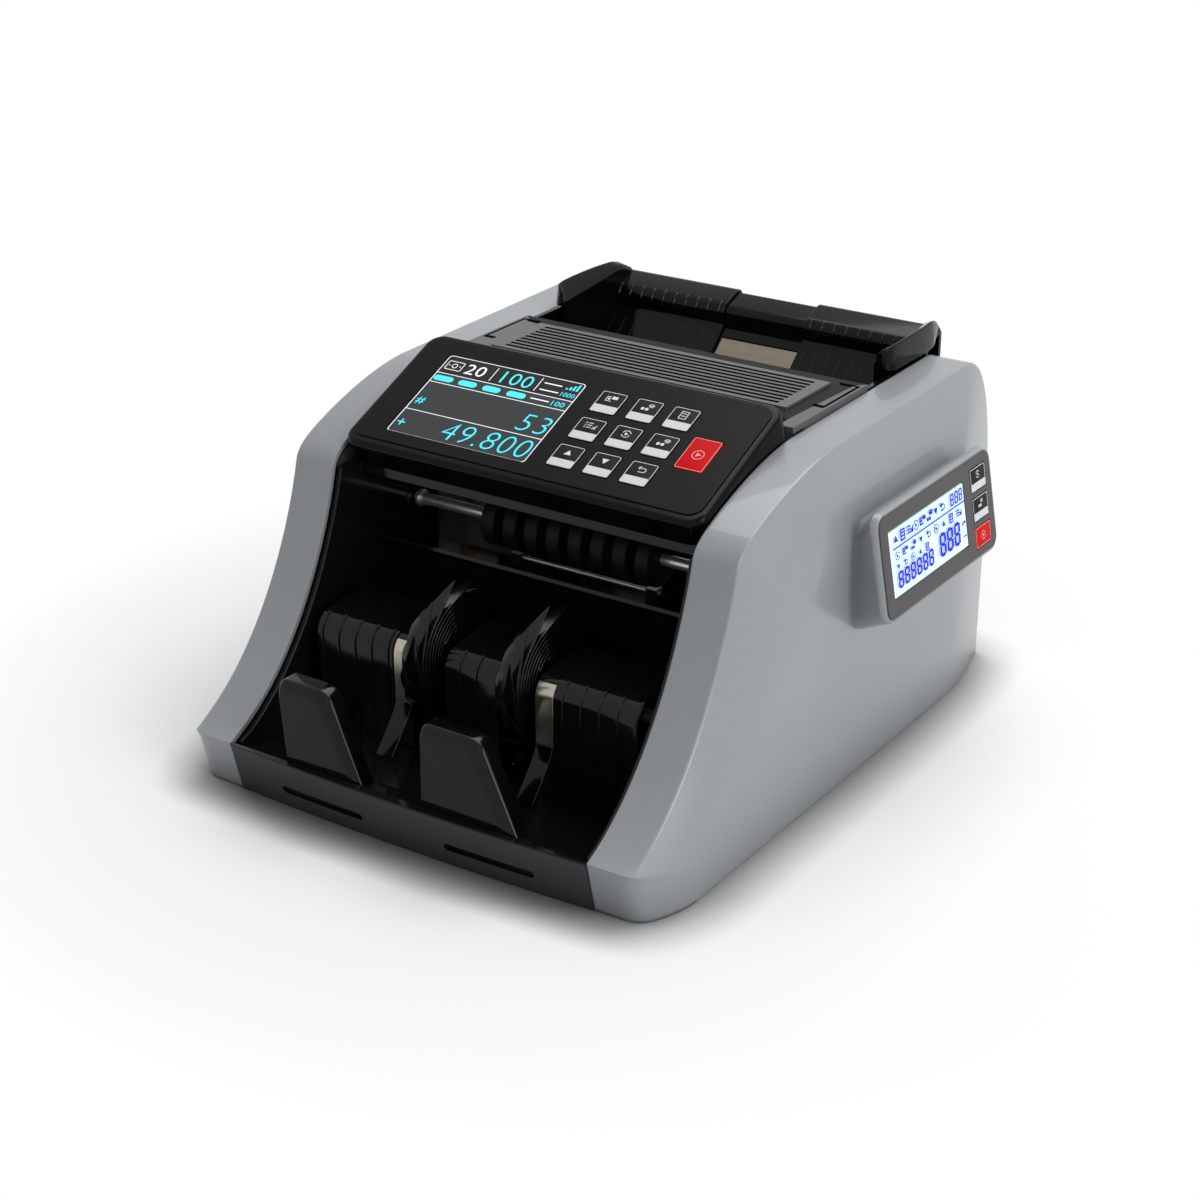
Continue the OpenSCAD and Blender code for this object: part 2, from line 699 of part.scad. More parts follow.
module stop_form() {
    slant = 14;
    top = lip_h + stop_h;
    foot = lip_h - 7;
    crown_line = concat(arc([stop_w - slant - 6.5, top - 7], 7, 15, 90, 6), arc([5, top - 5], 5, 90, 180, 6));
    difference() {
        union() {
            // face
            translate([0, stop_y + stop_t, 0])
                rotate([90, 0, 0])
                    linear_extrude(stop_t)
                        polygon(concat([[0, foot], [stop_w + 2.4, foot]], crown_line));
            // rim round the top and the slanting side
            translate([0, stop_y + stop_deep, 0])
                rotate([90, 0, 0])
                    linear_extrude(stop_deep - stop_t)
                        polygon(concat([[stop_w - 0.6, foot], [stop_w + 2.4, foot]], crown_line,
                            arc([5, top - 5], 2.5, 180, 90, 6),
                            arc([stop_w - slant - 6.5, top - 7], 4.5, 90, 15, 6)));
        }
        // the slope of the stacker floor, less a small gap
        plate_x([[stop_y - 1, lip_h - 0.4], [lip_in_y + 16, stack_floor_z + 3 + gap], [lip_in_y + 16, 0],
            [stop_y - 1, 0]], -1, stop_w + 5);
    }
}

module front_stops() color(black)
    for (x = stop_at)
        translate([x, 0, 0])
            stop_form();

// One spiral arm, as a strip that closes in on the hub
hub_r = 11;
arm_sweep = 150;
arm_steps = 14;
arm_in = 15;
function arm_radius(t) = wheel_r - (wheel_r - arm_in) * pow(t, 1.6);
function arm_edge(a0, thin) = [for (i = [0 : arm_steps])
    let (t = i / arm_steps, r = arm_radius(t) - thin * (0.25 + 0.75 * min(1, 2 * t)))
    r * [cos(a0 + arm_sweep * t), sin(a0 + arm_sweep * t)]];

module stacker_wheel_form(x) {
    translate([x - wheel_w / 2, stack_y, stack_z])
        rotate([90, 0, 90])
            difference() {
                union() {
                    for (i = [0 : wheel_arms - 1])
                        linear_extrude(wheel_w)
                            polygon(concat(arm_edge(97 + i * 360 / wheel_arms, 0),
                                reversed(arm_edge(97 + i * 360 / wheel_arms, 1.5))));
                    cylinder(h = wheel_w, r = arm_in + 1, $fn = 96);
                }
                translate([0, 0, -1])
                    cylinder(h = wheel_w + 2, r = shaft_r + 0.02, $fn = 64);
            }
}

module left_stacker_wheel() color(rubber_black) stacker_wheel_form(-wheel_x);
module right_stacker_wheel() color(rubber_black) stacker_wheel_form(wheel_x);

pulley_x = frame_out + 2;
belt_w = (half_w - half_open - belt_room) / 2;

stack_pulley_r = 14;
drive_pulley_r = 8;
motor_pulley_r = 5;
feed_pulley_r = 8;
belt_one = pulley_x + 2;
belt_two = belt_one + belt_w + 4;

module stacker_shaft() color(steel) {
    bar_x(-frame_out - 2, belt_one + belt_w + 2, shaft_r, stack_y, stack_z);
    difference() {
        union() {
            bar_x(belt_one, belt_one + belt_w + 0.6, stack_pulley_r, stack_y, stack_z);
            bar_x(belt_one - 1, belt_one, stack_pulley_r + 2.4, stack_y, stack_z);
            bar_x(belt_one + belt_w + 0.6, belt_one + belt_w + 1.6, stack_pulley_r + 2.4, stack_y, stack_z);
        }
        bar_x(belt_one - 2, belt_one + belt_w + 3, shaft_r - step, stack_y, stack_z);
    }
}

module exit_shaft() color(steel)
    bar_x(-pulley_x - 2 - gear_w - 2, frame_out + 2, shaft_r, exit_y, exit_z);

disc_pitch = 90 / (disc_n - 1);

module exit_rollers() color(rubber_black)
    for (i = [0 : disc_n - 1])
        difference() {
            bar_x(-45 + i * disc_pitch - disc_w / 2, -45 + i * disc_pitch + disc_w / 2, disc_r, exit_y, exit_z);
            bar_x(-46 + i * disc_pitch - disc_w, -44 + i * disc_pitch + disc_w, shaft_r + 0.02, exit_y, exit_z);
        }

// A shaft along X with rubber tyres
module tyred_shaft(x0, x1, r, tyre_r, tyre_w, places, y, z) {
    bar_x(x0, x1, r, y, z);
    for (x = places)
        bar_x(x - tyre_w / 2, x + tyre_w / 2, tyre_r, y, z);
}

module drive_roller() color(rubber_black) {
    tyred_shaft(-pulley_x - 2 - gear_w - 2, belt_two + belt_w + 2, shaft_r, roller_r, 16,
        [-66, -30, 30, 66], drive_y, drive_z);
    for (x = [belt_one, belt_two]) {
        bar_x(x, x + belt_w + 0.6, drive_pulley_r, drive_y, drive_z);
        bar_x(x - 1, x, drive_pulley_r + 2.4, drive_y, drive_z);
        bar_x(x + belt_w + 0.6, x + belt_w + 1.6, drive_pulley_r + 2.4, drive_y, drive_z);
    }
    bar_x(-belt_two - belt_w - 0.6, -belt_two, feed_pulley_r, drive_y, drive_z);
    bar_x(-belt_two - belt_w - 1.6, -belt_two - belt_w - 0.6, feed_pulley_r + 2.4, drive_y, drive_z);
    bar_x(-belt_two - 2, -pulley_x, shaft_r, drive_y, drive_z);
}

module feed_roller() color(rubber_black) {
    tyred_shaft(-belt_two - belt_w - 2, frame_out + 2, shaft_r, roller_r, 18, [-40, 40], feed_y, feed_z);
    for (x = [-belt_two - belt_w - 0.6, -belt_one - belt_w - 0.6])
        bar_x(x, x + belt_w + 0.6, feed_pulley_r, feed_y, feed_z);
    for (x = [-belt_two - belt_w - 1.6, -belt_two, -belt_one])
        bar_x(x, x + 1, feed_pulley_r + 2.4, feed_y, feed_z);
}

module pickup_roller() color(rubber_black) {
    tyred_shaft(-belt_one - belt_w - 2, frame_out + 2, shaft_r, pickup_r, pickup_w, pickup_x, pickup_y, pickup_z);
    bar_x(-belt_one - belt_w - 0.6, -belt_one, feed_pulley_r, pickup_y, pickup_z);
    for (x = [-belt_one - belt_w - 1.6, -belt_one])
        bar_x(x, x + 1, feed_pulley_r + 2.4, pickup_y, pickup_z);
}

// ---------- gears ----------

gear_r = gear_m * gear_n / 2;
tooth = 360 / gear_n;

// Outline of a gear with straight flanks; a tooth points along angle a
function gear_outline(a) = [for (i = [0 : gear_n - 1], k = [0 : 3])
    let (c = a + i * tooth, r = k == 0 || k == 3 ? gear_r - 1.2 * gear_m : gear_r + 0.85 * gear_m,
         w = k == 0 || k == 3 ? 0.31 : 0.115, s = k < 2 ? -1 : 1)
    r * [cos(c + s * w * tooth), sin(c + s * w * tooth)]];

module gear_form(y, z, a) {
    translate([-pulley_x - 2 - gear_w, y, z])
        rotate([90, 0, 90])
            difference() {
                linear_extrude(gear_w)
                    polygon(gear_outline(a));
                translate([0, 0, -1])
                    cylinder(h = gear_w + 2, r = shaft_r + 0.02, $fn = 64);
                for (i = [0 : 4])
                    rotate([0, 0, i * 72])
                        translate([gear_r * 0.55, 0, -1])
                            cylinder(h = gear_w + 2, r = gear_r * 0.17, $fn = 48);
            }
}

module drive_gear() color(key_grey) gear_form(drive_y, drive_z, 180 - gear_lean);
module exit_gear() color(key_grey) gear_form(exit_y, exit_z, -gear_lean + tooth / 2);

// ---------- motor and belts ----------

motor_x0 = half_open - 8 - motor_l;

module motor() color(zinc) {
    difference() {
        union() {
            bar_x(motor_x0, motor_x0 + motor_l, motor_r, motor_y, motor_z);
            bar_x(motor_x0 + motor_l - step, frame_in - gap, 8, motor_y, motor_z);
            // cradle down to the base
            box(motor_x0 + 8, motor_x0 + motor_l - 8, motor_y - 18, motor_y + 18, floor_z, motor_z - motor_r * 0.6);
        }
        bar_x(motor_x0 + motor_l - 4, frame_in + 1, shaft_r * 0.8 + 0.05, motor_y, motor_z);
    }
}

module motor_pulley() color(steel) {
    bar_x(motor_x0 + motor_l - 3, belt_two + belt_w + 2, shaft_r * 0.8, motor_y, motor_z);
    bar_x(belt_two, belt_two + belt_w + 0.6, motor_pulley_r, motor_y, motor_z);
    for (x = [belt_two - 1, belt_two + belt_w + 0.6])
        bar_x(x, x + 1, motor_pulley_r + 2.2, motor_y, motor_z);
}

// Outline of a belt round two pulleys
function belt_loop(a, ra, b, rb) =
    let (d = norm(b - a), h = atan2(b.y - a.y, b.x - a.x), k = acos((ra - rb) / d))
    concat(arc(a, ra, h + k, h + 360 - k, 20), arc(b, rb, h - k, h + k, 20));

module belt(x, a, ra, b, rb) {
    difference() {
        plate_x(belt_loop(a, ra + 0.3 + belt_t, b, rb + 0.3 + belt_t), x + 0.3, x + 0.3 + belt_w);
        plate_x(belt_loop(a, ra + 0.3, b, rb + 0.3), x - 1, x + belt_w + 2);
    }
}

module drive_belt() color(rubber_black)
    belt(belt_two, [motor_y, motor_z], motor_pulley_r, [drive_y, drive_z], drive_pulley_r);
module stacker_belt() color(rubber_black)
    belt(belt_one, [stack_y, stack_z], stack_pulley_r, [drive_y, drive_z], drive_pulley_r);
module feed_belt() color(rubber_black) {
    belt(-belt_two - belt_w - 0.6, [drive_y, drive_z], feed_pulley_r, [feed_y, feed_z], feed_pulley_r);
    belt(-belt_one - belt_w - 0.6, [feed_y, feed_z], feed_pulley_r, [pickup_y, pickup_z], feed_pulley_r);
}

// ---------- note path ----------

outlet_line = [[exit_y - 28.5, exit_z - 10.6], [exit_y - 12, exit_z - 24], [exit_y + 14, exit_z - 26.5]];
back_wall_y = exit_y - 23;

module outlet_guide() color(black) {
    plate_x(strip(outlet_line, 0, 2), -inner_x + gap, inner_x - gap);
    box(-inner_x + gap, inner_x - gap, back_wall_y, back_wall_y + 2, stack_floor_z + 1, exit_z - 17.5);
    // clips for the thin rod
    for (x = [-40, 40])
        difference() {
            box(x - 3, x + 3, rod_y - 3, rod_y + 3, exit_z - 26.5, rod_z + 2.2);
            bar_x(x - 4, x + 4, rod_r + 0.02, rod_y, rod_z);
        }
}

rod_r = 1.2;
rod_y = exit_y + 6;
rod_z = exit_z - 21.3;

module guide_rod() color(steel) bar_x(-43, 43, rod_r, rod_y, rod_z);

// ---------- places shared by the panel and the lid ----------

panel_y = front_y + panel_back;
housing_margin = 3.5;
housing_half = panel_w / 2 + housing_margin;
housing_front = -5;
housing_back = panel_l + 3.5;
skin = 2.4;
// Rear lower edge of the housing, [y, z]
panel_rear = [panel_y + housing_back * cos(panel_slope) + panel_t * sin(panel_slope),
    panel_h + housing_back * sin(panel_slope) - panel_t * cos(panel_slope)];

hinge_y = panel_rear.x + 4.5;
hinge_z = panel_rear.y - 3.8;
lid_front = hinge_y - 3.4;
lid_back = lid_front + lid_l;
lid_top = hinge_z + 3.8;
lid_half = half_open - 0.8;
lid_plate_half = 86;
ear_x = 90;

module top_lid() color(lid_grey) {
    difference() {
        union() {
            box(-lid_half, lid_half, lid_front, lid_back, lid_top - lid_t, lid_top);
            // skirt
            for (s = [-1, 1])
                box(s > 0 ? lid_half - 2 : -lid_half, s > 0 ? lid_half : -lid_half + 2, lid_front + 10, lid_back,
                    lid_top - 9, lid_top - lid_t + step);
            box(-lid_half, lid_half, lid_back - 2, lid_back, lid_top - 9, lid_top - lid_t + step);
            // raised ribbed field
            box(-lid_plate_half, lid_plate_half, lid_front + 20, lid_back - 10, lid_top - step, lid_top + 1.2);
        }
        for (i = [0 : lid_grooves - 1])
            box(-lid_plate_half + 6.5, lid_plate_half - 6.5, lid_back - 15.5 - i * groove_pitch,
                lid_back - 14 - i * groove_pitch, lid_top - 0.4, lid_top + 2);
        // finger recesses at the rear corners
        for (s = [-1, 1])
            box(s > 0 ? lid_half - 13 : -lid_half + 5, s > 0 ? lid_half - 5 : -lid_half + 13, lid_back - 8,
                lid_back - 5, lid_top - 1.5, lid_top + 1);
        // room for the ears of the panel housing
        for (s = [-1, 1])
            box(s * ear_x - 3.4, s * ear_x + 3.4, lid_front - 1, hinge_y + 6, lid_top - lid_t - 10, lid_top + 1);
    }
    for (s = [-1, 1]) {
        // knuckle beside the ear, and its pin
        bar_x(s > 0 ? ear_x - 7.4 : -ear_x + 3.4, s > 0 ? ear_x - 3.4 : -ear_x + 7.4, 3.3, hinge_y, hinge_z);
        bar_x(s > 0 ? ear_x - 4 : -ear_x - 2, s > 0 ? ear_x + 2 : -ear_x + 4, 1.6, hinge_y, hinge_z);
    }
}

// ---------- control panel ----------

// The panel's own frame: x across, y up the slope, z out of the face
module on_panel() {
    translate([0, panel_y, panel_h])
        rotate([panel_slope, 0, 0])
            children();
}

screen_u = -screen_w / 2 - 0.2;
screen_v = 36.2;
keys_u = 17.4;
keys_v = 16.8;
start_u = keys_u + 3 * key_pitch_u + 0.3;
start_v = keys_v + key_pitch_v;
key_gap = 0.3;
function key_at(col, row) = [keys_u + col * key_pitch_u, keys_v + row * key_pitch_v];

module key_openings(t0, t1) {
    for (c = [0 : 2], r = [0 : 2])
        translate([key_at(c, r).x - key_w / 2 - key_gap, key_at(c, r).y - key_l / 2 - key_gap, t0])
            rounded(key_w + 2 * key_gap, key_l + 2 * key_gap, t1 - t0, 1.6);
    translate([start_u - start_w / 2 - key_gap, start_v - start_l / 2 - key_gap, t0])
        rounded(start_w + 2 * key_gap, start_l + 2 * key_gap, t1 - t0, 1.6);
}

module panel_housing() color(black) {
    on_panel()
        difference() {
            translate([-housing_half, housing_front, -panel_t])
                rounded(2 * housing_half, housing_back - housing_front, panel_t - film_t, 9);
            translate([-housing_half + skin, housing_front + skin, -panel_t - 1])
                rounded(2 * (housing_half - skin), housing_back - housing_front - 2 * skin,
                    panel_t - film_t - skin + 1, 6.6);
            key_openings(-panel_t, 1);
            translate([screen_u - screen_w / 2, screen_v - screen_l / 2, -panel_t])
                cube([screen_w, screen_l, panel_t + 1]);
        }
    // ears that carry the lid
    for (s = [-1, 1])
        difference() {
            plate_x([panel_rear + [-4.2, -1.4], panel_rear + [-1.5, 3.3], [hinge_y + 2.4, hinge_z + 2.6],
                [hinge_y + 3.4, hinge_z], [hinge_y + 2.4, hinge_z - 2.6], [hinge_y - 1, hinge_z - 4]],
                s * ear_x - 2.8, s * ear_x + 2.8);
            bar_x(s * ear_x - 3, s * ear_x + 3, 1.66, hinge_y, hinge_z);
        }
}

module panel_overlay() color(soft_black)
    on_panel()
        difference() {
            translate([-panel_w / 2, 0, -film_t])
                rounded(panel_w, panel_l, film_t, 7);
            key_openings(-film_t - 1, 1);
            translate([screen_u - screen_w / 2, screen_v - screen_l / 2, -2])
                cube([screen_w, screen_l, 4]);
        }

module display_module() color(black)
    on_panel()
        translate([screen_u - screen_w / 2 + gap, screen_v - screen_l / 2 + gap, -film_t - skin - 1.5]) {
            cube([screen_w - 2 * gap, screen_l - 2 * gap, skin + 1.5 + film_t - 0.3]);
            translate([-3, -3, -2.4])
                cube([screen_w + 6 - 2 * gap, screen_l + 6 - 2 * gap, 3.6]);
        }

board_z = -film_t - skin - 4.2;

module panel_board() color(board_green)
    on_panel()
        translate([-housing_half + skin + 2, housing_front + skin + 2, board_z - 1.6]) {
            cube([2 * (housing_half - skin - 2), housing_back - housing_front - 2 * skin - 4, 1.6]);
        }

// A key: a cap in its opening and a stem down towards the board
module key_form(u, v, w, l) {
    on_panel() {
        translate([u - w / 2, v - l / 2, -film_t - skin + 0.2])
            rounded(w, l, film_t + skin + 0.1, 1.4);
        translate([u - 2, v - 2, board_z + key_travel + 0.25])
            cube([4, 4, -film_t - skin + 0.3 - board_z - key_travel - 0.25]);
    }
}

module square_key(col, row) key_form(key_at(col, row).x, key_at(col, row).y, key_w, key_l);

module currency_key() color(key_grey) square_key(0, 2);
module add_key() color(key_grey) square_key(1, 2);
module detail_key() color(key_grey) square_key(2, 2);
module menu_key() color(key_grey) square_key(0, 1);
module mode_key() color(key_grey) square_key(1, 1);
module batch_key() color(key_grey) square_key(2, 1);
module up_key() color(key_grey) square_key(0, 0);
module down_key() color(key_grey) square_key(1, 0);
module escape_key() color(key_grey) square_key(2, 0);
module start_key() color(red) key_form(start_u, start_v, start_w, start_l);

// ---------- side display ----------

side_y = rear_y - side_back;
bezel_t = 2;
side_wall = 2.2;
side_key_w = 16.4;
side_key_y = side_l / 2 - 6 - side_key_w;
side_keys = [[14, 12], [-1, 12], [-15.4, 10.5]];
lcd_l = side_l - lcd_short;
lcd_y = -side_l / 2 + 7.4;
lcd_b = 0.3 - lcd_h / 2;

// The display's own frame: x out of its face, y to the rear, z up its face
module on_side() {
    translate([half_w + side_reach, side_y, side_z])
        rotate([0, -side_tilt, 0])
            children();
}

// Rounded plate in that frame, from x = x0 to x = x1
module side_plate(l, h, r, x0, x1) {
    translate([x0, -l / 2, -h / 2])
        rotate([90, 0, 90])
            rounded(l, h, x1 - x0, r);
}

module side_foot(in) {
    translate([half_w, side_y - side_l / 2 + 5 + in, side_z - side_h / 2 - 15 + in])
        cube([0.5, side_l - 10 - 2 * in, side_h + 7 - 2 * in]);
}

module side_display_housing() color(housing_grey) {
    difference() {
        hull() {
            side_foot(0);
            on_side()
                side_plate(side_l + 2 * side_wall, side_h + 2 * side_wall, 7, -bezel_t - 3, -0.4);
        }
        hull() {
            translate([-1, 0, 0])
                side_foot(side_wall);
            on_side()
                side_plate(side_l - 4, side_h - 4, 5, -bezel_t - 3, 0.2);
        }
        on_side()
            side_plate(side_l + 0.4, side_h + 0.4, 5.2, -bezel_t, 1);
    }
}

module side_key_openings(x0, x1) {
    for (k = side_keys)
        translate([x0, side_key_y - key_gap, k.x - k.y / 2 - key_gap])
            cube([x1 - x0, side_key_w + 2 * key_gap, k.y + 2 * key_gap]);
}

module side_display_bezel() color(soft_black)
    on_side()
        difference() {
            side_plate(side_l, side_h, 5, -bezel_t, 0);
            side_key_openings(-bezel_t - 1, 1);
            translate([-bezel_t - 1, lcd_y, lcd_b])
                cube([bezel_t + 2, lcd_l, lcd_h]);
        }

module side_screen() color(lcd_pale)
    on_side() {
        translate([-bezel_t - 1, lcd_y + gap, lcd_b + gap])
            cube([bezel_t + 0.7, lcd_l - 2 * gap, lcd_h - 2 * gap]);
        translate([-bezel_t - 4, lcd_y - 2, lcd_b - 3])
            cube([4 - gap, lcd_l + 4, lcd_h + 6]);
        // switch board behind the keys
        translate([-bezel_t - 4, side_key_y - 2, -side_h / 2 + 4])
            cube([1.6, side_key_w + 3, side_h - 8]);
    }

module side_key_form(k) {
    on_side() {
        translate([-bezel_t + 0.1, side_key_y, k.x - k.y / 2])
            cube([bezel_t, side_key_w, k.y]);
        translate([-bezel_t - 2.4 + key_travel + 0.25, side_key_y + side_key_w / 2 - 2, k.x - 2])
            cube([2.6 - key_travel - 0.25, 4, 4]);
    }
}

module side_mode_key() color(key_grey) side_key_form(side_keys[0]);
module side_add_key() color(key_grey) side_key_form(side_keys[1]);
module side_start_key() color(red) side_key_form(side_keys[2]);

// ---------- electronics ----------

module circuit_boards() color(board_green) {
    // main board on four posts
    box(-60, 60, rear_y - 78, rear_y - 34, floor_z + 6, floor_z + 7.6);
    for (x = [-55, 49], y = [rear_y - 74, rear_y - 44])
        box(x, x + 6, y, y + 6, floor_z, floor_z + 6.01);
    for (x = [-40, -8, 24])
        box(x, x + 16, rear_y - 66, rear_y - 50, floor_z + 7.59, floor_z + 11);
    // power supply behind the inlet
    box(-96, -66, rear_y - 90, rear_y - 34, floor_z + 6, floor_z + 7.6);
    box(-92, -72, rear_y - 84, rear_y - 60, floor_z, floor_z + 30);
}

base_tray();
rubber_feet();
left_side_cover();
right_side_cover();
rear_cover();
bay_liner();
housing_screws();
left_side_frame();
right_side_frame();
frame_stays();
shaft_bushes();
front_stops();
stacker_floor();
stacker_faces();
wear_strips();
stacker_shaft();
left_stacker_wheel();
right_stacker_wheel();
exit_shaft();
exit_rollers();
drive_roller();
feed_roller();
pickup_roller();
drive_gear();
exit_gear();
motor();
motor_pulley();
drive_belt();
stacker_belt();
feed_belt();
outlet_guide();
guide_rod();
hopper_tray();
hopper_plate();
left_note_guide();
right_note_guide();
top_lid();
panel_housing();
panel_overlay();
display_module();
panel_board();
currency_key();
add_key();
detail_key();
menu_key();
mode_key();
batch_key();
up_key();
down_key();
escape_key();
start_key();
side_display_housing();
side_display_bezel();
side_screen();
side_mode_key();
side_add_key();
side_start_key();
inlet_module();
power_switch();
circuit_boards();
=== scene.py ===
# %% [markdown]
# # A banknote counting machine
# The machine stands on a pale floor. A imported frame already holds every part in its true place, so this
# lesson is about looks: soft edges, mouldings, lit displays and believable plastics and metals.
# All sizes in the cells are written in millimetres, and one helper turns them into metres.

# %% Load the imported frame
import json
import math

import bmesh
import bpy
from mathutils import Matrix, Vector

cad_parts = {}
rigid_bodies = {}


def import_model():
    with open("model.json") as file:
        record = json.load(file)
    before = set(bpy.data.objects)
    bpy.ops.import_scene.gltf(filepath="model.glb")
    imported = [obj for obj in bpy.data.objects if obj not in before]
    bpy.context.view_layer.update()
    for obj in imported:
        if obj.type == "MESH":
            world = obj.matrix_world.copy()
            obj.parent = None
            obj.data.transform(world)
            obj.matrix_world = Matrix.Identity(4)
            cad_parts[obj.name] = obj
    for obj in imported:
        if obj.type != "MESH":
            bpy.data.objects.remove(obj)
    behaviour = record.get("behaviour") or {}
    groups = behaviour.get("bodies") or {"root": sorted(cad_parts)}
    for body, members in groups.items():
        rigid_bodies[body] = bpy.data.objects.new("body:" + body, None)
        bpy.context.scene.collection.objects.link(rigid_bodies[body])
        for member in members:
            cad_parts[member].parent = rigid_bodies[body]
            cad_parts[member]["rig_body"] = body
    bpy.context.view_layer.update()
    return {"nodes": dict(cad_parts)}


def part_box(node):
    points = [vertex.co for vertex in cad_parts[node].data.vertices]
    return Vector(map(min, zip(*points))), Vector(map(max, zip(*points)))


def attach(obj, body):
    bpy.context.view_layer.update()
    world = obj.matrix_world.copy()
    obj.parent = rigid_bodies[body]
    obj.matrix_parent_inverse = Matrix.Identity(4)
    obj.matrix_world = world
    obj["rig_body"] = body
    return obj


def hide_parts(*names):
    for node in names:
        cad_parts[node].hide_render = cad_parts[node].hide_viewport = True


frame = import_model()
MM = 0.001

# %% [markdown]
# ## From outlines to meshes
# Nearly everything on the machine is a moulding: an outline that was pushed out to a thickness, with
# small radii on its edges. Modelling by hand would do, but then no size could be changed later. Here a
# few helpers take outlines in millimetres, and a bevel modifier gives each moulding its edge radius.

# %% Helpers that make, finish and seat a piece
def add_object(name, data):
    made = bpy.data.objects.new(name, data)
    bpy.context.scene.collection.objects.link(made)
    return made


def link(name, mesh, finishes):
    piece = add_object(name, mesh)
    mesh.materials.clear()
    for finish in finishes:
        mesh.materials.append(finish)
    return piece


def smooth(mesh, angle=32.0):
    mesh.polygons.foreach_set("use_smooth", [True] * len(mesh.polygons))
    mesh.set_sharp_from_angle(angle=math.radians(angle))
    mesh.update()


def solid(name, points, faces, finishes, angle=32.0):
    """A piece from points in mm, with its seams closed and its faces turned outward."""
    mesh = bpy.data.meshes.new(name)
    mesh.from_pydata([Vector(p) * MM for p in points], [], faces)
    bm = bmesh.new()
    bm.from_mesh(mesh)
    bmesh.ops.remove_doubles(bm, verts=bm.verts, dist=2e-6)
    bmesh.ops.recalc_face_normals(bm, faces=bm.faces)
    bm.to_mesh(mesh)
    bm.free()
    smooth(mesh, angle)
    return link(name, mesh, finishes)


def settle_modifiers(piece):
    """Turns the piece with its modifiers into a plain mesh."""
    graph = bpy.context.evaluated_depsgraph_get()
    graph.update()
    mesh = bpy.data.meshes.new_from_object(piece.evaluated_get(graph), preserve_all_data_layers=True,
                                           depsgraph=graph)
    mesh.name = piece.name
    piece.modifiers.clear()
    piece.data = mesh
    return piece


def level_faces(piece):
    """Shades wide faces flat, so that only the narrow ones round the edge."""
    level = piece.modifiers.new("Even shading", "WEIGHTED_NORMAL")
    level.keep_sharp = True
    return settle_modifiers(piece)


def soften(piece, width, segments=2):
    """Gives every edge sharper than 30 degrees a radius of width mm."""
    bevel = piece.modifiers.new("Edge radius", "BEVEL")
    bevel.width = width * MM
    bevel.segments = segments
    bevel.limit_method = "ANGLE"
    bevel.angle_limit = math.radians(30)
    bevel.use_clamp_overlap = True
    bevel.miter_outer = "MITER_ARC"
    return level_faces(piece)


def even_shading(piece, angle=32.0):
    smooth(piece.data, angle)
    return level_faces(piece)


def report(piece):
    print(piece.name, len(piece.data.polygons), "faces")


def seat(piece, slot, *nodes, body="machine_body"):
    """Ties the piece to a moving body of the frame and hides the parts that it stands for."""
    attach(piece, body)
    if nodes:
        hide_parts(*nodes)
    return piece


def copy_of(node, name, finishes):
    """A copy of a part with its flat facets joined."""
    bm = bmesh.new()
    bm.from_mesh(frame["nodes"][node].data)
    bmesh.ops.remove_doubles(bm, verts=bm.verts, dist=3e-6)
    bmesh.ops.dissolve_limit(bm, angle_limit=math.radians(0.6), verts=bm.verts, edges=bm.edges)
    mesh = bpy.data.meshes.new(name)
    bm.to_mesh(mesh)
    bm.free()
    smooth(mesh)
    return link(name, mesh, finishes)


def of_node(node, name, finishes, width, slot):
    """A moulding whose shape is right already, with a radius on its edges."""
    piece = soften(copy_of(node, name, finishes), width)
    return seat(piece, slot, node, body=frame["nodes"][node]["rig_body"])


def banded(piece, levels, chosen):
    """Splits a piece at some heights and gives each face the finish that chosen(centre) numbers."""
    bm = bmesh.new()
    bm.from_mesh(piece.data)
    for z in levels:
        bmesh.ops.bisect_plane(bm, geom=bm.verts[:] + bm.edges[:] + bm.faces[:], plane_co=(0, 0, z * MM),
                               plane_no=(0, 0, 1))
    for face in bm.faces:
        face.material_index = chosen(face.calc_center_median() / MM)
    bm.to_mesh(piece.data)
    bm.free()
    return piece


def arc(centre, radius, start, end, steps):
    """Points on a flat arc from start to end, in degrees."""
    turns = [math.radians(start + (end - start) * i / steps) for i in range(steps + 1)]
    return [(centre[0] + radius * math.cos(a), centre[1] + radius * math.sin(a)) for a in turns]


def skin(rings, closed=False):
    """Points and faces of a skin over rings with the same number of points, capped unless it closes on itself."""
    n, count = len(rings[0]), len(rings)
    faces = [(k * n + i, k * n + (i + 1) % n, (k + 1) % count * n + (i + 1) % n, (k + 1) % count * n + i)
             for k in range(count if closed else count - 1) for i in range(n)]
    if not closed:
        faces += [tuple(range(n))[::-1], tuple(range((count - 1) * n, count * n))]
    return [p for r in rings for p in r], faces


def plate_x(outline, x0, x1):
    """A plate square to X from an outline of (y, z)."""
    return skin([[(x, y, z) for y, z in outline] for x in (x0, x1)])


def slab(x0, x1, y0, y1, z0, z1):
    return plate_x([(y0, z0), (y1, z0), (y1, z1), (y0, z1)], x0, x1)


def together(*parts):
    """Joins (points, faces) pairs into one."""
    points, faces = [], []
    for p, f in parts:
        shift = len(points)
        points += list(p)
        faces += [tuple(i + shift for i in face) for face in f]
    return points, faces


def cut(piece, *cutters):
    """Takes closed shapes out of a piece."""
    for cutter in cutters:
        hole = piece.modifiers.new("Opening", "BOOLEAN")
        hole.operation = "DIFFERENCE"
        hole.solver = "EXACT"
        hole.object = cutter
    settle_modifiers(piece)
    for cutter in cutters:
        bpy.data.objects.remove(cutter)
    return even_shading(piece)


def joined(name, *pieces):
    """Makes one piece of several, with all their finishes."""
    with bpy.context.temp_override(active_object=pieces[0], object=pieces[0],
                                   selected_objects=pieces, selected_editable_objects=pieces):
        bpy.ops.object.join()
    pieces[0].name = pieces[0].data.name = name
    return pieces[0]


print("helpers ready")

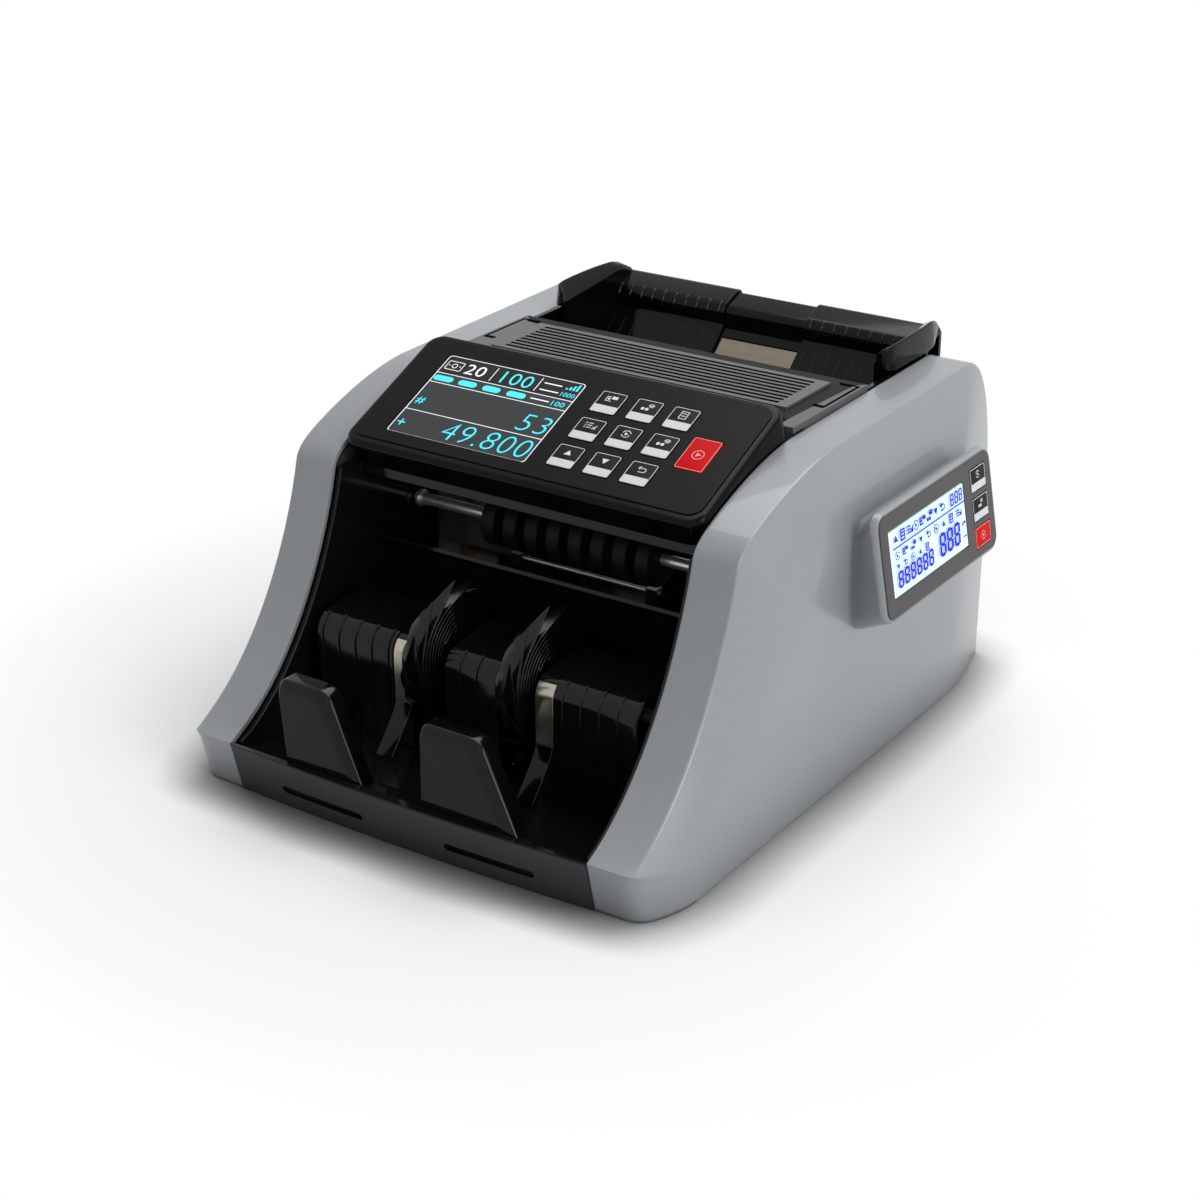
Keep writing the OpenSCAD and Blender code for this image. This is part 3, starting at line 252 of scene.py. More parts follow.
# %% [markdown]
# ## Finishes
# Real plastic is never one flat colour. Light catches a fine grain, the gloss wanders a little, and
# painted parts hold metal flakes. One function builds all of these from Noise textures on object
# coordinates, so the pattern stays put when the part moves and needs no picture.

# %% A function for the finishes
def srgb(r, g, b):
    return tuple(((c / 255 + 0.055) / 1.055) ** 2.4 if c > 10 else c / 255 / 12.92 for c in (r, g, b))


def feed(node, given):
    """Sets inputs of a node, or links them to the outputs that feed them."""
    for socket, value in given.items():
        if isinstance(value, bpy.types.NodeSocket):
            node.id_data.links.new(value, node.inputs[socket])
        else:
            node.inputs[socket].default_value = value


def add_node(tree, kind, given=None, **settings):
    made = tree.nodes.new(kind)
    for name, value in settings.items():
        setattr(made, name, value)
    feed(made, given or {})
    return made


def finish(name, tone, rough=0.4, metal=0.0, coat=0.0, vary=0.08, rough_vary=0.06, grain=900.0,
           grain_depth=0.02, mottle=30.0, glow=None, stretch=(1, 1, 1), coat_rough=0.05, specular=0.5):
    """Principled plastic or metal: mottled colour, wandering gloss and a fine grain in relief."""
    made = bpy.data.materials.new(name)
    made.use_nodes = True
    tree = made.node_tree
    place = add_node(tree, "ShaderNodeTexCoord").outputs["Object"]
    spot = add_node(tree, "ShaderNodeMapping", {"Scale": stretch, "Vector": place}).outputs["Vector"]
    broad, fine = [add_node(tree, "ShaderNodeTexNoise", {"Scale": size, "Detail": steps, "Vector": spot}).outputs["Fac"]
                   for size, steps in ((mottle, 3), (grain, 2))]
    source = add_node(tree, "ShaderNodeMix", {0: 0.35, 2: fine, 3: broad}, data_type="FLOAT")
    tint = add_node(tree, "ShaderNodeValToRGB", {"Fac": source.outputs[0]})
    for stop, position, share in zip(tint.color_ramp.elements, (0.3, 0.7), (1 - vary, 1 + vary)):
        stop.position = position
        stop.color = (*[min(c * share, 1) for c in srgb(*tone)], 1)
    gloss = add_node(tree, "ShaderNodeMapRange", {"Value": broad, "To Min": max(rough - rough_vary, 0.01),
                                                  "To Max": rough + rough_vary})
    relief = add_node(tree, "ShaderNodeBump", {"Strength": 1.0, "Distance": grain_depth * MM, "Height": fine})
    shader = tree.nodes["Principled BSDF"]
    feed(shader, {"Base Color": tint.outputs["Color"], "Roughness": gloss.outputs["Result"],
                  "Normal": relief.outputs["Normal"], "Metallic": metal, "Specular IOR Level": specular,
                  "Coat Weight": coat, "Coat Roughness": coat_rough})
    if glow:
        feed(shader, {"Emission Strength": glow, "Emission Color": tint.outputs["Color"]})
    return made


# %% The finishes of this machine
polished = {"grain": 700, "grain_depth": 0.001}
moulded = {"grain": 1800, "grain_depth": 0.004}
cover_paint = finish("cover_paint", (146, 150, 153), 0.36, metal=0.1, coat=0.4, vary=0.04, rough_vary=0.03,
                     grain=2600, grain_depth=0.002, coat_rough=0.03, specular=0.25)
base_plastic = finish("base_plastic", (60, 60, 63), 0.34, vary=0.1, grain=1500, grain_depth=0.012, specular=0.2)
gloss_black = finish("gloss_black", (7, 7, 8), 0.11, rough_vary=0.03, specular=0.14, **polished)
stop_black = finish("stop_black", (9, 9, 10), 0.07, rough_vary=0.02, specular=0.2, **polished)
satin_black = finish("satin_black", (14, 14, 15), 0.3, grain=1500, grain_depth=0.008, specular=0.18)
bay_black = finish("bay_black", (17, 17, 18), 0.1, rough_vary=0.03, grain=1200, grain_depth=0.001, specular=0.22)
film_black = finish("film_black", (14, 14, 15), 0.3, rough_vary=0.03, grain=2200, grain_depth=0.003, vary=0.04,
                    specular=0.07)
rim_black = finish("rim_black", (6, 6, 7), 0.12, specular=0.1, **polished)
roller_rubber = finish("roller_rubber", (20, 20, 21), 0.5, grain=1000, vary=0.12, specular=0.12)
bezel_grey = finish("bezel_grey", (74, 72, 72), 0.32, rough_vary=0.03, grain=2200, grain_depth=0.004, vary=0.04,
                    specular=0.2)
lid_plastic = finish("lid_plastic", (90, 90, 91), 0.42, vary=0.06, grain=1700, grain_depth=0.008, specular=0.25)
# a darker grey painted as shade into the lid grooves, the floors of the lid recesses and the walls of the finger slots
groove_painted_shade = finish("groove_painted_shade", (20, 20, 21), 0.6, grain=1400, grain_depth=0.01, specular=0.1)
wheel_rubber = finish("wheel_rubber", (11, 11, 12), 0.17, rough_vary=0.04, grain=900, grain_depth=0.004, specular=0.3)
soft_rubber = finish("soft_rubber", (24, 24, 25), 0.55, grain=1000, grain_depth=0.05, vary=0.14, specular=0.2)
ground_steel = finish("ground_steel", (206, 207, 209), 0.3, rough_vary=0.03, metal=0.75, grain=260,
                      grain_depth=0.0015, stretch=(14, 1, 1), vary=0.04)
zinc_sheet = finish("zinc_sheet", (170, 172, 172), 0.4, metal=1.0, mottle=90, vary=0.13)
strip_metal = finish("strip_metal", (176, 170, 158), 0.22, metal=0.9, stretch=(1, 1, 7), grain=330,
                     grain_depth=0.004, vary=0.06)
plate_metal = finish("plate_metal", (124, 117, 103), 0.24, rough_vary=0.1, metal=0.85, stretch=(1, 7, 7),
                     grain=330, grain_depth=0.005, mottle=18, vary=0.16)
sintered_brass = finish("sintered_brass", (182, 140, 80), 0.45, metal=1.0, grain=700, vary=0.12)
board_green = finish("board_green", (18, 82, 46), 0.35, mottle=160, vary=0.2)
key_band = finish("key_band", (212, 213, 215), 0.4, vary=0.03, **moulded)
key_dark = finish("key_dark", (15, 15, 17), 0.32, vary=0.05, specular=0.08, **moulded)
key_red = finish("key_red", (204, 9, 17), 0.4, vary=0.04, specular=0.06, **moulded)
print_pink = finish("print_pink", (246, 150, 148), 0.4, grain=1500, vary=0.03)
print_white = finish("print_white", (226, 227, 229), 0.4, grain=1500, vary=0.03)
screen_dark = finish("screen_dark", (52, 54, 56), 0.16, grain=4200, glow=0.35, vary=0.05, specular=0.12)
screen_head = finish("screen_head", (36, 30, 29), 0.16, grain=4200, glow=0.35, vary=0.05, specular=0.12)
screen_cyan = finish("screen_cyan", (50, 200, 216), 0.2, grain=4200, glow=0.75, vary=0.03)
screen_white = finish("screen_white", (222, 230, 232), 0.2, grain=4200, glow=0.5, vary=0.03)
# the side readout is reflective, so the glow of these two finishes is painted light
lcd_pale = finish("lcd_pale", (208, 236, 243), 0.18, grain=3800, glow=0.4, vary=0.02, specular=0.15)
lcd_blue_painted_glow = finish("lcd_blue_painted_glow", (12, 13, 196), 0.2, grain=3800, glow=0.25, vary=0.03, specular=0.15)
print("finishes:", len(bpy.data.materials))

# %% [markdown]
# ## Side covers
# Each side cover is one injection moulding in metallic grey. A flat flange runs round the mouth of the
# machine, turns over a tight edge and falls as a broad bevel to a soft crease on the flat side. It could
# be sculpted, but it is cleaner to sweep one section along two curves: the outer edge and the crease.

# %% The two curves of a side cover
def bez(a, b, c, d, t):
    return a * (1 - t) ** 3 + 3 * b * t * (1 - t) ** 2 + 3 * c * t * t * (1 - t) + d * t ** 3


def sweep(p, q, h, k, n):
    """Points of a curve from p to q without the last; h and k are its handles as shares of the box."""
    return [Vector([bez(p[i], p[i] + (q[i] - p[i]) * h[i], p[i] + (q[i] - p[i]) * k[i], q[i], s / n)
                    for i in (0, 1)]) for s in range(n)]


def run(p, q, n):
    return [Vector(p) + (Vector(q) - Vector(p)) * i / n for i in range(n)]


front_y, rear_y, top_z = -173.0, 173.0, 172.6
half_w, half_open, edge_in, foot_z = 135.0, 102.0, 10.0, 0.2
lip_top = Vector((front_y + 3.5, 27.3))
shoulder = lip_top + Vector((84, top_z - 27.3 - 32.6))
brow = shoulder + Vector((25, 17))
crown = Vector((shoulder.x + 85, top_z - 1.6))
tail = Vector((rear_y - 35, top_z))
heel = Vector((rear_y - 3, top_z - 52))
fine_steps = 4
edge_line = (run((lip_top.x + 7, 0), lip_top, 3 * fine_steps)
             + sweep(lip_top, shoulder, (0.494, 0.148), (0.863, 0.60), 12 * fine_steps)
             + sweep(shoulder, brow, (0.06, 0.40), (0.38, 0.64), 4 * fine_steps)
             + sweep(brow, crown, (0.31, 0.50), (0.64, 0.90), 5 * fine_steps)
             + run(crown, tail, 2 * fine_steps) + sweep(tail, heel, (0.47, 0), (0.84, 0.28), 8 * fine_steps)
             + run(heel, (rear_y, top_z / 3), 2 * fine_steps) + run((rear_y, top_z / 3), (rear_y, 0), fine_steps)
             + [Vector((rear_y, 0))])
crease_top, crease_rear = top_z - 40, rear_y - 47
crease_foot = Vector((lip_top.x + 27, 21))
crease_mid = crease_foot + Vector((87, 70))
crease_bend = crease_mid + Vector((16, 17))
crease_tail, crease_heel = Vector((tail.x - 18, crease_top)), Vector((crease_rear, crease_top - 32))
crease_line = (run((crease_foot.x + 5, 0), crease_foot, 3 * fine_steps)
               + run(crease_foot, crease_mid, 12 * fine_steps) + run(crease_mid, crease_bend, 4 * fine_steps)
               + sweep(crease_bend, Vector((crown.x, crease_top)), (0.4, 0.42), (0.7, 0.9), 5 * fine_steps)
               + run((crown.x, crease_top), crease_tail, 2 * fine_steps)
               + sweep(crease_tail, crease_heel, (0.6, 0), (1, 0.5), 8 * fine_steps)
               + run(crease_heel, (crease_rear, top_z / 3), 2 * fine_steps)
               + run((crease_rear, top_z / 3), (crease_rear, 0), fine_steps) + [Vector((crease_rear, 0))])
for line in (edge_line, crease_line):
    line[0].y = line[-1].y = foot_z
print("stations round a cover:", len(edge_line))


# %% Sweep the section into both covers
def bend_round(a, corner, b, n):
    """A soft corner: points on a curve from a to b that aims at the corner."""
    return [a * (1 - t) ** 2 + corner * 2 * t * (1 - t) + b * t * t for t in [i / n for i in range(n + 1)]]


def cover_section(o, q):
    """Section from the mouth over the edge, rounder at the front foot, and the bevel to the flat side."""
    down = (q - o)
    outer = Vector((half_w - edge_in, o.x, o.y))
    crease = Vector((half_w, q.x, q.y))
    middle = Vector((half_w - edge_in * 0.40, *((o + q) / 2)))
    lower = Vector((0, down.x, down.y)).normalized()
    first = (middle - outer).normalized()
    last = (crease - middle).normalized()
    in_foot = min(1.0, max(0.0, (31 - o.y) / 7)) if o.x < 0 else 0.0
    r_edge, r_crease = 1.3 + 7.0 * in_foot, min(9.0, down.length * 0.3)
    flange = [Vector((x, o.x, o.y)) for x in (half_open, half_open + 0.6, half_open + 9, half_w - edge_in - 9)]
    turn = bend_round(outer - Vector((r_edge, 0, 0)), outer, outer + first * r_edge, 6)
    face = bend_round(turn[-1], middle + Vector((0.3, 0, 0)), crease - last * r_crease, 8)[1:-1]
    soft = bend_round(crease - last * r_crease, crease, crease + lower * r_crease, 7)
    return flange + turn + face + soft


def cover(side):
    rings = [cover_section(o, q) for o, q in zip(edge_line, crease_line)]
    for ring in (rings[0], rings[-1]):
        for p in ring:
            p.z = foot_z
    n = len(rings[0])
    points = [Vector((p.x * side, p.y, p.z)) for ring in rings for p in ring]
    faces = [(i * n + j, i * n + j + 1, (i + 1) * n + j + 1, (i + 1) * n + j)
             for i in range(len(rings) - 1) for j in range(n - 1)]
    faces.append(tuple(i * n + n - 1 for i in range(len(rings))))
    return points, faces


for side, hand in ((1, "right"), (-1, "left")):
    shell = solid(f"{hand}_cover_shell", *cover(side), [cover_paint], angle=38)
    wall = shell.modifiers.new("Wall", "SOLIDIFY")
    wall.thickness = 2.4 * MM
    wall.offset = -1
    wall.use_rim = True
    level_faces(settle_modifiers(shell))
    seat(shell, "shell_grey", f"{hand}_side_cover")
    report(shell)

# %% [markdown]
# ## Base, mouth and stacker mouldings
# The base tray, the liner of the bay, the stacker floor and the ribbed faces are straight mouldings.
# Their shapes are right in the frame, so what they lack is an edge radius: without one, plastic never
# shows the thin bright line that tells the eye how glossy it is.

# %% Straight mouldings with an edge radius
mouldings = (
    ("bay_liner", bay_black, 0.22, "black_plastic"),
    ("stacker_floor", bay_black, 0.5, "black_plastic"), ("stacker_faces", bay_black, 0.3, "black_plastic"),
    ("outlet_guide", bay_black, 0.4, "black_plastic"),
    ("rear_cover", satin_black, 0.5, "black_plastic"), ("hopper_plate", plate_metal, 0.2, "beige_metal"),
    ("rubber_feet", soft_rubber, 0.5, "rubber"), ("housing_screws", ground_steel, 0.2, "steel"),
    ("inlet_module", satin_black, 0.4, "gloss_black"), ("power_switch", gloss_black, 0.5, "gloss_black"),
    ("stacker_shaft", ground_steel, 0.4, "steel"),
)
for node, material, radius, slot_name in mouldings:
    report(of_node(node, node + "_moulding", [material], radius, slot_name))

# %% [markdown]
# ## Wear strips
# Notes brush past two strips of bare metal in the ribbed face. Only the stretch that the notes touch is bright:
# below and above it the strip lies in a black carrier. The strip is split at two heights and takes two finishes.
# A dark foot leads on from each strip towards the lip.

# %% Wear strips in two finishes
bright = (42, 73.5)
strips = banded(copy_of("wear_strips", "wear_strips_bright", [strip_metal, bay_black]), bright,
                lambda centre: 0 if bright[0] < centre.z < bright[1] else 1)
seat(soften(strips, 0.25), "beige_metal", "wear_strips")
report(strips)

strip_foot = [(-113.4, 43.0), (-114.6, 39.5), (-117.2, 35.6), (-121.0, 31.0), (-125.2, 26.0), (-128.4, 22.4),
              (-130.2, 20.4)]
foot_outline = strip_foot + [(y + 1.5, z + 0.4) for y, z in strip_foot[::-1]]
feet = solid("strip_feet", *together(*[plate_x(foot_outline, x, x + 9.6) for x in (-45.8, 36.2)]), [stop_black],
             angle=25)
seat(soften(feet, 0.45, 3), "black_plastic")
report(feet)

# %% [markdown]
# ## Base tray
# The bowed lip of the tray is satin. Its upper edge, polished by the notes, takes a glossier finish whose colour is
# painted nearly black as the shade of the bay, so it reads as a black band. The walls of the deep finger slots are
# painted dark as shade. Both are faces with their own finish.

# %% Base tray with painted shade on its upper edge and in its slots
tray_band_z, slot_length, slot_height, slot_z = 26.2, 49.0, 3.9, 10.5


# 1 gives the upper edge of the lip a glossy finish with the painted shade of the bay
def painted_shade_on_tray(centre):
    return int(centre.y < -150 and abs(centre.x) < half_open and centre.z > tray_band_z)


def slot_cutter(x):
    """A flat bar with round ends, a little larger than the opening of the part, so that the slot walls, painted dark as
    shade, show.
    """
    end_radius = slot_height / 2
    reach = slot_length / 2 - end_radius
    ends = arc((x + reach, slot_z), end_radius, -90, 90, 8) + arc((x - reach, slot_z), end_radius, 90, 270, 8)
    cutter = solid("slot", *skin([[(u, y, v) for u, v in ends] for y in (front_y - 3, front_y + 8.2)]),
                   [base_plastic, bay_black, groove_painted_shade])
    # the faces of the cutter become the slot walls and carry the painted shade
    for face in cutter.data.polygons:
        face.material_index = 2
    return cutter


base = banded(copy_of("base_tray", "base_tray_moulding", [base_plastic, bay_black, groove_painted_shade]), (tray_band_z,),
              painted_shade_on_tray)
cut(base, *[slot_cutter(x) for x in (-48, 48)])
seat(soften(base, 0.7), "black_plastic", "base_tray")
report(base)

# %% [markdown]
# ## Front stops
# Two glossy stops hold the stack of notes back. Each is a slanting shield whose top and outer side roll over in
# a wide radius, and that roll carries the brightest glints of the machine. Rings of one outline, drawn in step by
# step towards the front, give the roll exactly, where a bevel would give every edge the same radius.

# %% Stops as rings that draw in towards the front
stop_front, stop_deep, stop_top, roll = -168.2, 11.0, 68.2, 6.4


def stop_ring(x_top, x_foot, x_crown, x_right, inset, y):
    """Outline of a stop, drawn in by inset mm at its top and its slanting side."""
    foot = 26.9 - 0.335 * (y - stop_front + 1)
    left = inset * 0.16
    top = stop_top - inset
    slant = Vector((x_right - x_crown, foot - (stop_top - 4))).normalized()
    crown = Vector((x_crown - inset * 0.9, top))
    points = [(x_foot + left, foot), (x_right - inset, foot)]
    points += bend_round(crown + slant * 6.5, crown, crown - Vector((6.5, 0)), 6)
    corner = Vector((x_top + left, top))
    points += bend_round(corner + Vector((3.6, 0)), corner, corner - Vector((0, 3.6)), 5)
    return [(x, y, z) for x, z in points]


def stop_form(*places):
    rings = [stop_ring(*places, 0, stop_front + stop_deep)]
    for angle in (0, 15, 30, 45, 60, 75, 90):
        a = math.radians(angle)
        rings.append(stop_ring(*places, roll * (1 - math.cos(a)), stop_front + roll * 0.62 * (1 - math.sin(a))))
    return skin(rings)


stops = solid("front_stops_glossy", *together(stop_form(-71.4, -68.6, -43.2, -25.0),
                                              stop_form(10.8, 10.4, 43.0, 62.8)), [stop_black], angle=60)
even_shading(stops, 60)
seat(stops, "black_plastic", "front_stops")
report(stops)

# %% [markdown]
# ## Top lid
# The lid has a raised field with long grooves that read as black lines, and a shallow finger recess at each end.
# The plain lid is in the frame, so the wide grooves and the recesses are cut into a copy of it, and the faces
# inside the grooves and on the floor of the recesses are painted darker as shade.

# %% Grooves and finger recesses
lid_rear, field_top = (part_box("top_lid")[1][axis] / MM for axis in (1, 2))
groove_pitch, groove_half, groove_end = 4.3, 1.15, 79.6
groove_rows = [lid_rear - 14.75 - groove_pitch * i for i in range(9)]
ribbed_lid = copy_of("top_lid", "ribbed_lid", [lid_plastic, groove_painted_shade])
lid_cuts = [slab(-groove_end, groove_end, y - groove_half, y + groove_half, field_top - 1.7, field_top + 2)
            for y in groove_rows]
recess_cuts = []
for side in (-1, 1):
    for x0, x1, y0, y1 in ((88.5, 99.9, lid_rear - 6.6, lid_rear - 4.6), (98.2, 99.8, lid_rear - 41, lid_rear - 4.7),
                           (93.0, 99.7, lid_rear - 42.0, lid_rear - 38.8)):
        recess_cuts.append(slab(*sorted((side * x0, side * x1)), y0, y1, field_top - 2.6, field_top + 1))
cut(ribbed_lid, *[solid("groove", *shape, [lid_plastic]) for shape in lid_cuts + recess_cuts])


def painted_shade_on_lid(centre):
    """Number of the finish of a face of the lid: 1, painted shade, inside the grooves and on the floor of the recesses.
    """
    in_field = abs(centre.x) < groove_end + 0.1 and groove_rows[-1] - 1.3 < centre.y < groove_rows[0] + 1.3
    in_recess = 88.4 < abs(centre.x) < 99.95 and lid_rear - 42.1 < centre.y < lid_rear - 4.5
    depth = field_top - centre.z
    return int((in_field and 0.2 < depth < 1.9) or (in_recess and 1.25 < depth < 2.8))


# faces in the grooves and recesses take the painted shade
banded(ribbed_lid, (), painted_shade_on_lid)
seat(even_shading(soften(ribbed_lid, 0.18)), "lid_grey", "top_lid", body="lid")
report(ribbed_lid)

# %% [markdown]
# ## Hopper
# The hopper is a glossy black chute. Its tray ends in a rounded bar, and a guide slides on each half of it. The
# tray needs only its edge radius and two trimmed ends. The guides deserve their own forms: a hooked plate,
# fine ridges that start at the foot of the bar, and a side wall that swells out to a smooth lip.

# %% Hopper tray, trimmed along the covers
tray = copy_of("hopper_tray", "hopper_chute", [gloss_black])
tail_line = [(p.x, p.y - 0.8) for p in edge_line if p.x > 128 and p.y > 118]
for side in (-1, 1):
    outline = [(128, 200), (128, tail_line[0][1])] + tail_line + [(180, tail_line[-1][1]), (180, 200)]
    cut(tray, solid("trim", *plate_x(outline, *sorted((side * 95.2, side * 110))), [gloss_black]))
seat(soften(tray, 0.7, 3), "gloss_black", "hopper_tray")
report(tray)


# %% The surface that the guides follow
bar_top, hopper_slope = 177.9, math.radians(41.4)
floor_top = Vector((rear_y - 22, bar_top - 17))
floor_way = Vector((math.cos(hopper_slope), math.sin(hopper_slope)))


def guide_line(proud):
    """The upper surface of the tray from half way up the floor to the back of the bar, set off by proud mm."""
    normal = Vector((-floor_way.y, floor_way.x))
    face_y = floor_top.x + 1
    return ([floor_top - floor_way * 66 + normal * proud, floor_top - floor_way * 3 + normal * proud,
             Vector((face_y - proud, floor_top.y + 3))]
            + [Vector(p) for p in arc((face_y + 5.5, bar_top - 9), 5.5 + proud, 180, 112, 10)]
            + [Vector((rear_y - 7.5 - proud * 0.3, bar_top - 0.3 + proud * 0.97))]
            + [Vector(p) for p in arc((rear_y - 6.5, bar_top - 3), 2.7 + proud, 75, 0, 5)]
            + [Vector((rear_y - 3.8 + proud, bar_top - 8))])


def ridge(path, width, height, sink=0.4):
    """A fine ridge along a path of (y, z) that rises out of the surface and sinks back into it."""
    rings, n = [], len(path)
    for i, p in enumerate(path):
        way = (path[min(i + 1, n - 1)] - path[max(i - 1, 0)]).normalized()
        normal = Vector((-way.y, way.x))
        rise = height * min(1.0, 3.0 * i / n + 0.1, 1.6 * (n - 1 - i) / n)
        heights = (-sink, rise * 0.75, rise, rise * 0.75, -sink)
        rings.append([(x * width, *(p + normal * h)) for x, h in zip((-1, -0.55, 0, 0.55, 1), heights)])
    return skin(rings)


surface = guide_line(1.6)
bar_ridge = [Vector((surface[2].x, surface[2].y + 4.9 * i / 4)) for i in range(4)] + surface[3:14]
floor_ridge = [surface[1] - (surface[1] - surface[0]) * i / 14 for i in range(14)][::-1]
print("ridge points:", len(bar_ridge), len(floor_ridge))

# %% [markdown]
# ## Control panel
# The panel is a glossy black tray with a printed film on top. Keys poke through the film, and a colour
# display shines behind a clear window. Printing could be a picture, but small raised shapes stay sharp at
# any distance, so the outlines, bands and icons are thin prisms that stand a twentieth of a millimetre proud.

# %% Rounded blocks in the panel's own frame
panel_y, panel_z, panel_tilt = front_y + 97.4, top_z - 16.2, math.radians(23.3)


def on_panel(u, v, w):
    """From panel coordinates, u across, v up the slope and w out of the face, to the machine's own."""
    c, s = math.cos(panel_tilt), math.sin(panel_tilt)
    return (u, panel_y + v * c - w * s, panel_z + v * s + w * c)


def ring(width, length, radius, inset=0.0, centre=(0, 0), steps=6):
    """Points round a rectangle with round corners."""
    r = max(radius - inset, 0.02)
    a, b = width / 2 - inset - r, length / 2 - inset - r
    points = []
    for k, (u, v) in enumerate(((a, b), (-a, b), (-a, -b), (a, -b))):
        points += arc((centre[0] + u, centre[1] + v), r, 90 * k, 90 * k + 90, steps)
    return points


def block(width, length, radius, low, high, edge, place, centre=(0, 0), steps=6):
    """A block with round corners and a rounded upper edge."""
    levels = [(0, low)] + [(edge * (1 - math.cos(math.radians(a))), high - edge + edge * math.sin(math.radians(a)))
                           for a in (0, 18, 36, 54, 72, 90)]
    return skin([[place(u, v, w) for u, v in ring(width, length, radius, inset, centre, steps)] for inset, w in levels])


def prism(outline, low, high, place):
    """A flat shape pushed out from low to high."""
    return skin([[place(u, v, w) for u, v in outline] for w in (low, high)])


def hoop(outer, inner, low, high, place):
    """A closed line between two outlines with the same number of points."""
    edges = ((outer, low), (inner, low), (inner, high), (outer, high))
    return skin([[place(u, v, w) for u, v in edge] for edge, w in edges], closed=True)


def line(points, width, *ink):
    """A printed line of even width through some points; ink is the low and high level and the place function."""
    parts = []
    for a, b in zip(points, points[1:]):
        a, b = Vector(a), Vector(b)
        way = (b - a).normalized() * width
        side, end = Vector((-way.y, way.x)) / 2, way * 0.35
        a, b = a - end, b + end
        parts.append(prism([a - side, b - side, b + side, a + side], *ink))
    return together(*parts)


def disc(centre, radius, low, high, place, steps=20):
    return prism(arc(centre, radius, 0, 360, steps)[:-1], low, high, place)


def circle_line(centre, radius, width, low, high, place, steps=28, start=0.0, turn=1.0):
    outer, inner = [arc(centre, r, 360 * start, 360 * (start + turn), steps)
                    for r in (radius + width / 2, radius - width / 2)]
    if turn == 1.0:
        return hoop(outer[:-1], inner[:-1], low, high, place)
    return prism(outer + inner[::-1], low, high, place)


print("panel frame ready")

# %% [markdown]
# The housing is a deep tray whose upper rim is rounded and polished. The rim is what shines in a real one,
# so its radius is modelled in five steps. Openings for the keys and the display are cut through it, as in the mould.

# %% Panel housing, with its rim and the ears of the lid
first_key, key_pitch = (17.4, 16.8), (20.1, 19.6)
key_places = {"up": (0, 0), "down": (1, 0), "escape": (2, 0), "menu": (0, 1), "mode": (1, 1), "batch": (2, 1),
              "currency": (0, 2), "add": (1, 2), "detail": (2, 2)}
start_place = (first_key[0] + 3 * key_pitch[0] + 0.3, first_key[1] + key_pitch[1])
screen_place = (-41.2, 36.2)


def key_centre(key):
    column, row = key_places[key]
    return first_key[0] + column * key_pitch[0], first_key[1] + row * key_pitch[1]


def openings(low, high):
    shapes = [prism(ring(15.0, 15.6, 1.6, centre=key_centre(key)), low, high, on_panel) for key in key_places]
    shapes.append(prism(ring(15.9, 21.9, 1.6, centre=start_place), low, high, on_panel))
    shapes.append(prism(ring(82.0, 57.8, 0.4, centre=screen_place), low, high, on_panel))
    return [solid("hole", *together(*shapes), [gloss_black])]


rim = solid("panel_rim", *block(203, 84, 9, -14, -0.62, 2.6, on_panel, centre=(0, 37), steps=10), [rim_black], angle=50)
hollow = solid("hollow", *block(197, 78, 7, -16, -3.1, 1.0, on_panel, centre=(0, 37), steps=8), [gloss_black])
cut(rim, hollow, *openings(-5, 3))
rear = on_panel(0, 79, -14)[1:]
hinge = (rear[0] + 4.5, rear[1] - 3.8)
ear = [(rear[0] - 4.2, rear[1] - 1.4), (rear[0] - 1.5, rear[1] + 3.3), (hinge[0] + 2.4, hinge[1] + 2.6),
       (hinge[0] + 3.4, hinge[1]), (hinge[0] + 2.4, hinge[1] - 2.6), (hinge[0] - 1, hinge[1] - 4)]
ears = solid("ears", *together(plate_x(ear, 87.2, 92.8), plate_x(ear, -92.8, -87.2)), [gloss_black])
soften(ears, 0.4)
panel_rim = seat(joined("panel_rim", rim, ears), "gloss_black", "panel_housing")
report(panel_rim)

# %% Printed film over the panel
film = solid("panel_film", *block(196, 75.5, 7, -0.6, 0, 0.25, on_panel, centre=(0, 37.75), steps=10), [film_black])
cut(film, *openings(-3, 3))
seat(film, "overlay_film", "panel_overlay")
report(film)

# %% [markdown]
# ## Keys
# Each key is a soft cap with a dark upper field, a light band below it and a thin light line round both.
# The words of a real key are left out, and each icon is generic: arrows, a note, a list, a page, coins.

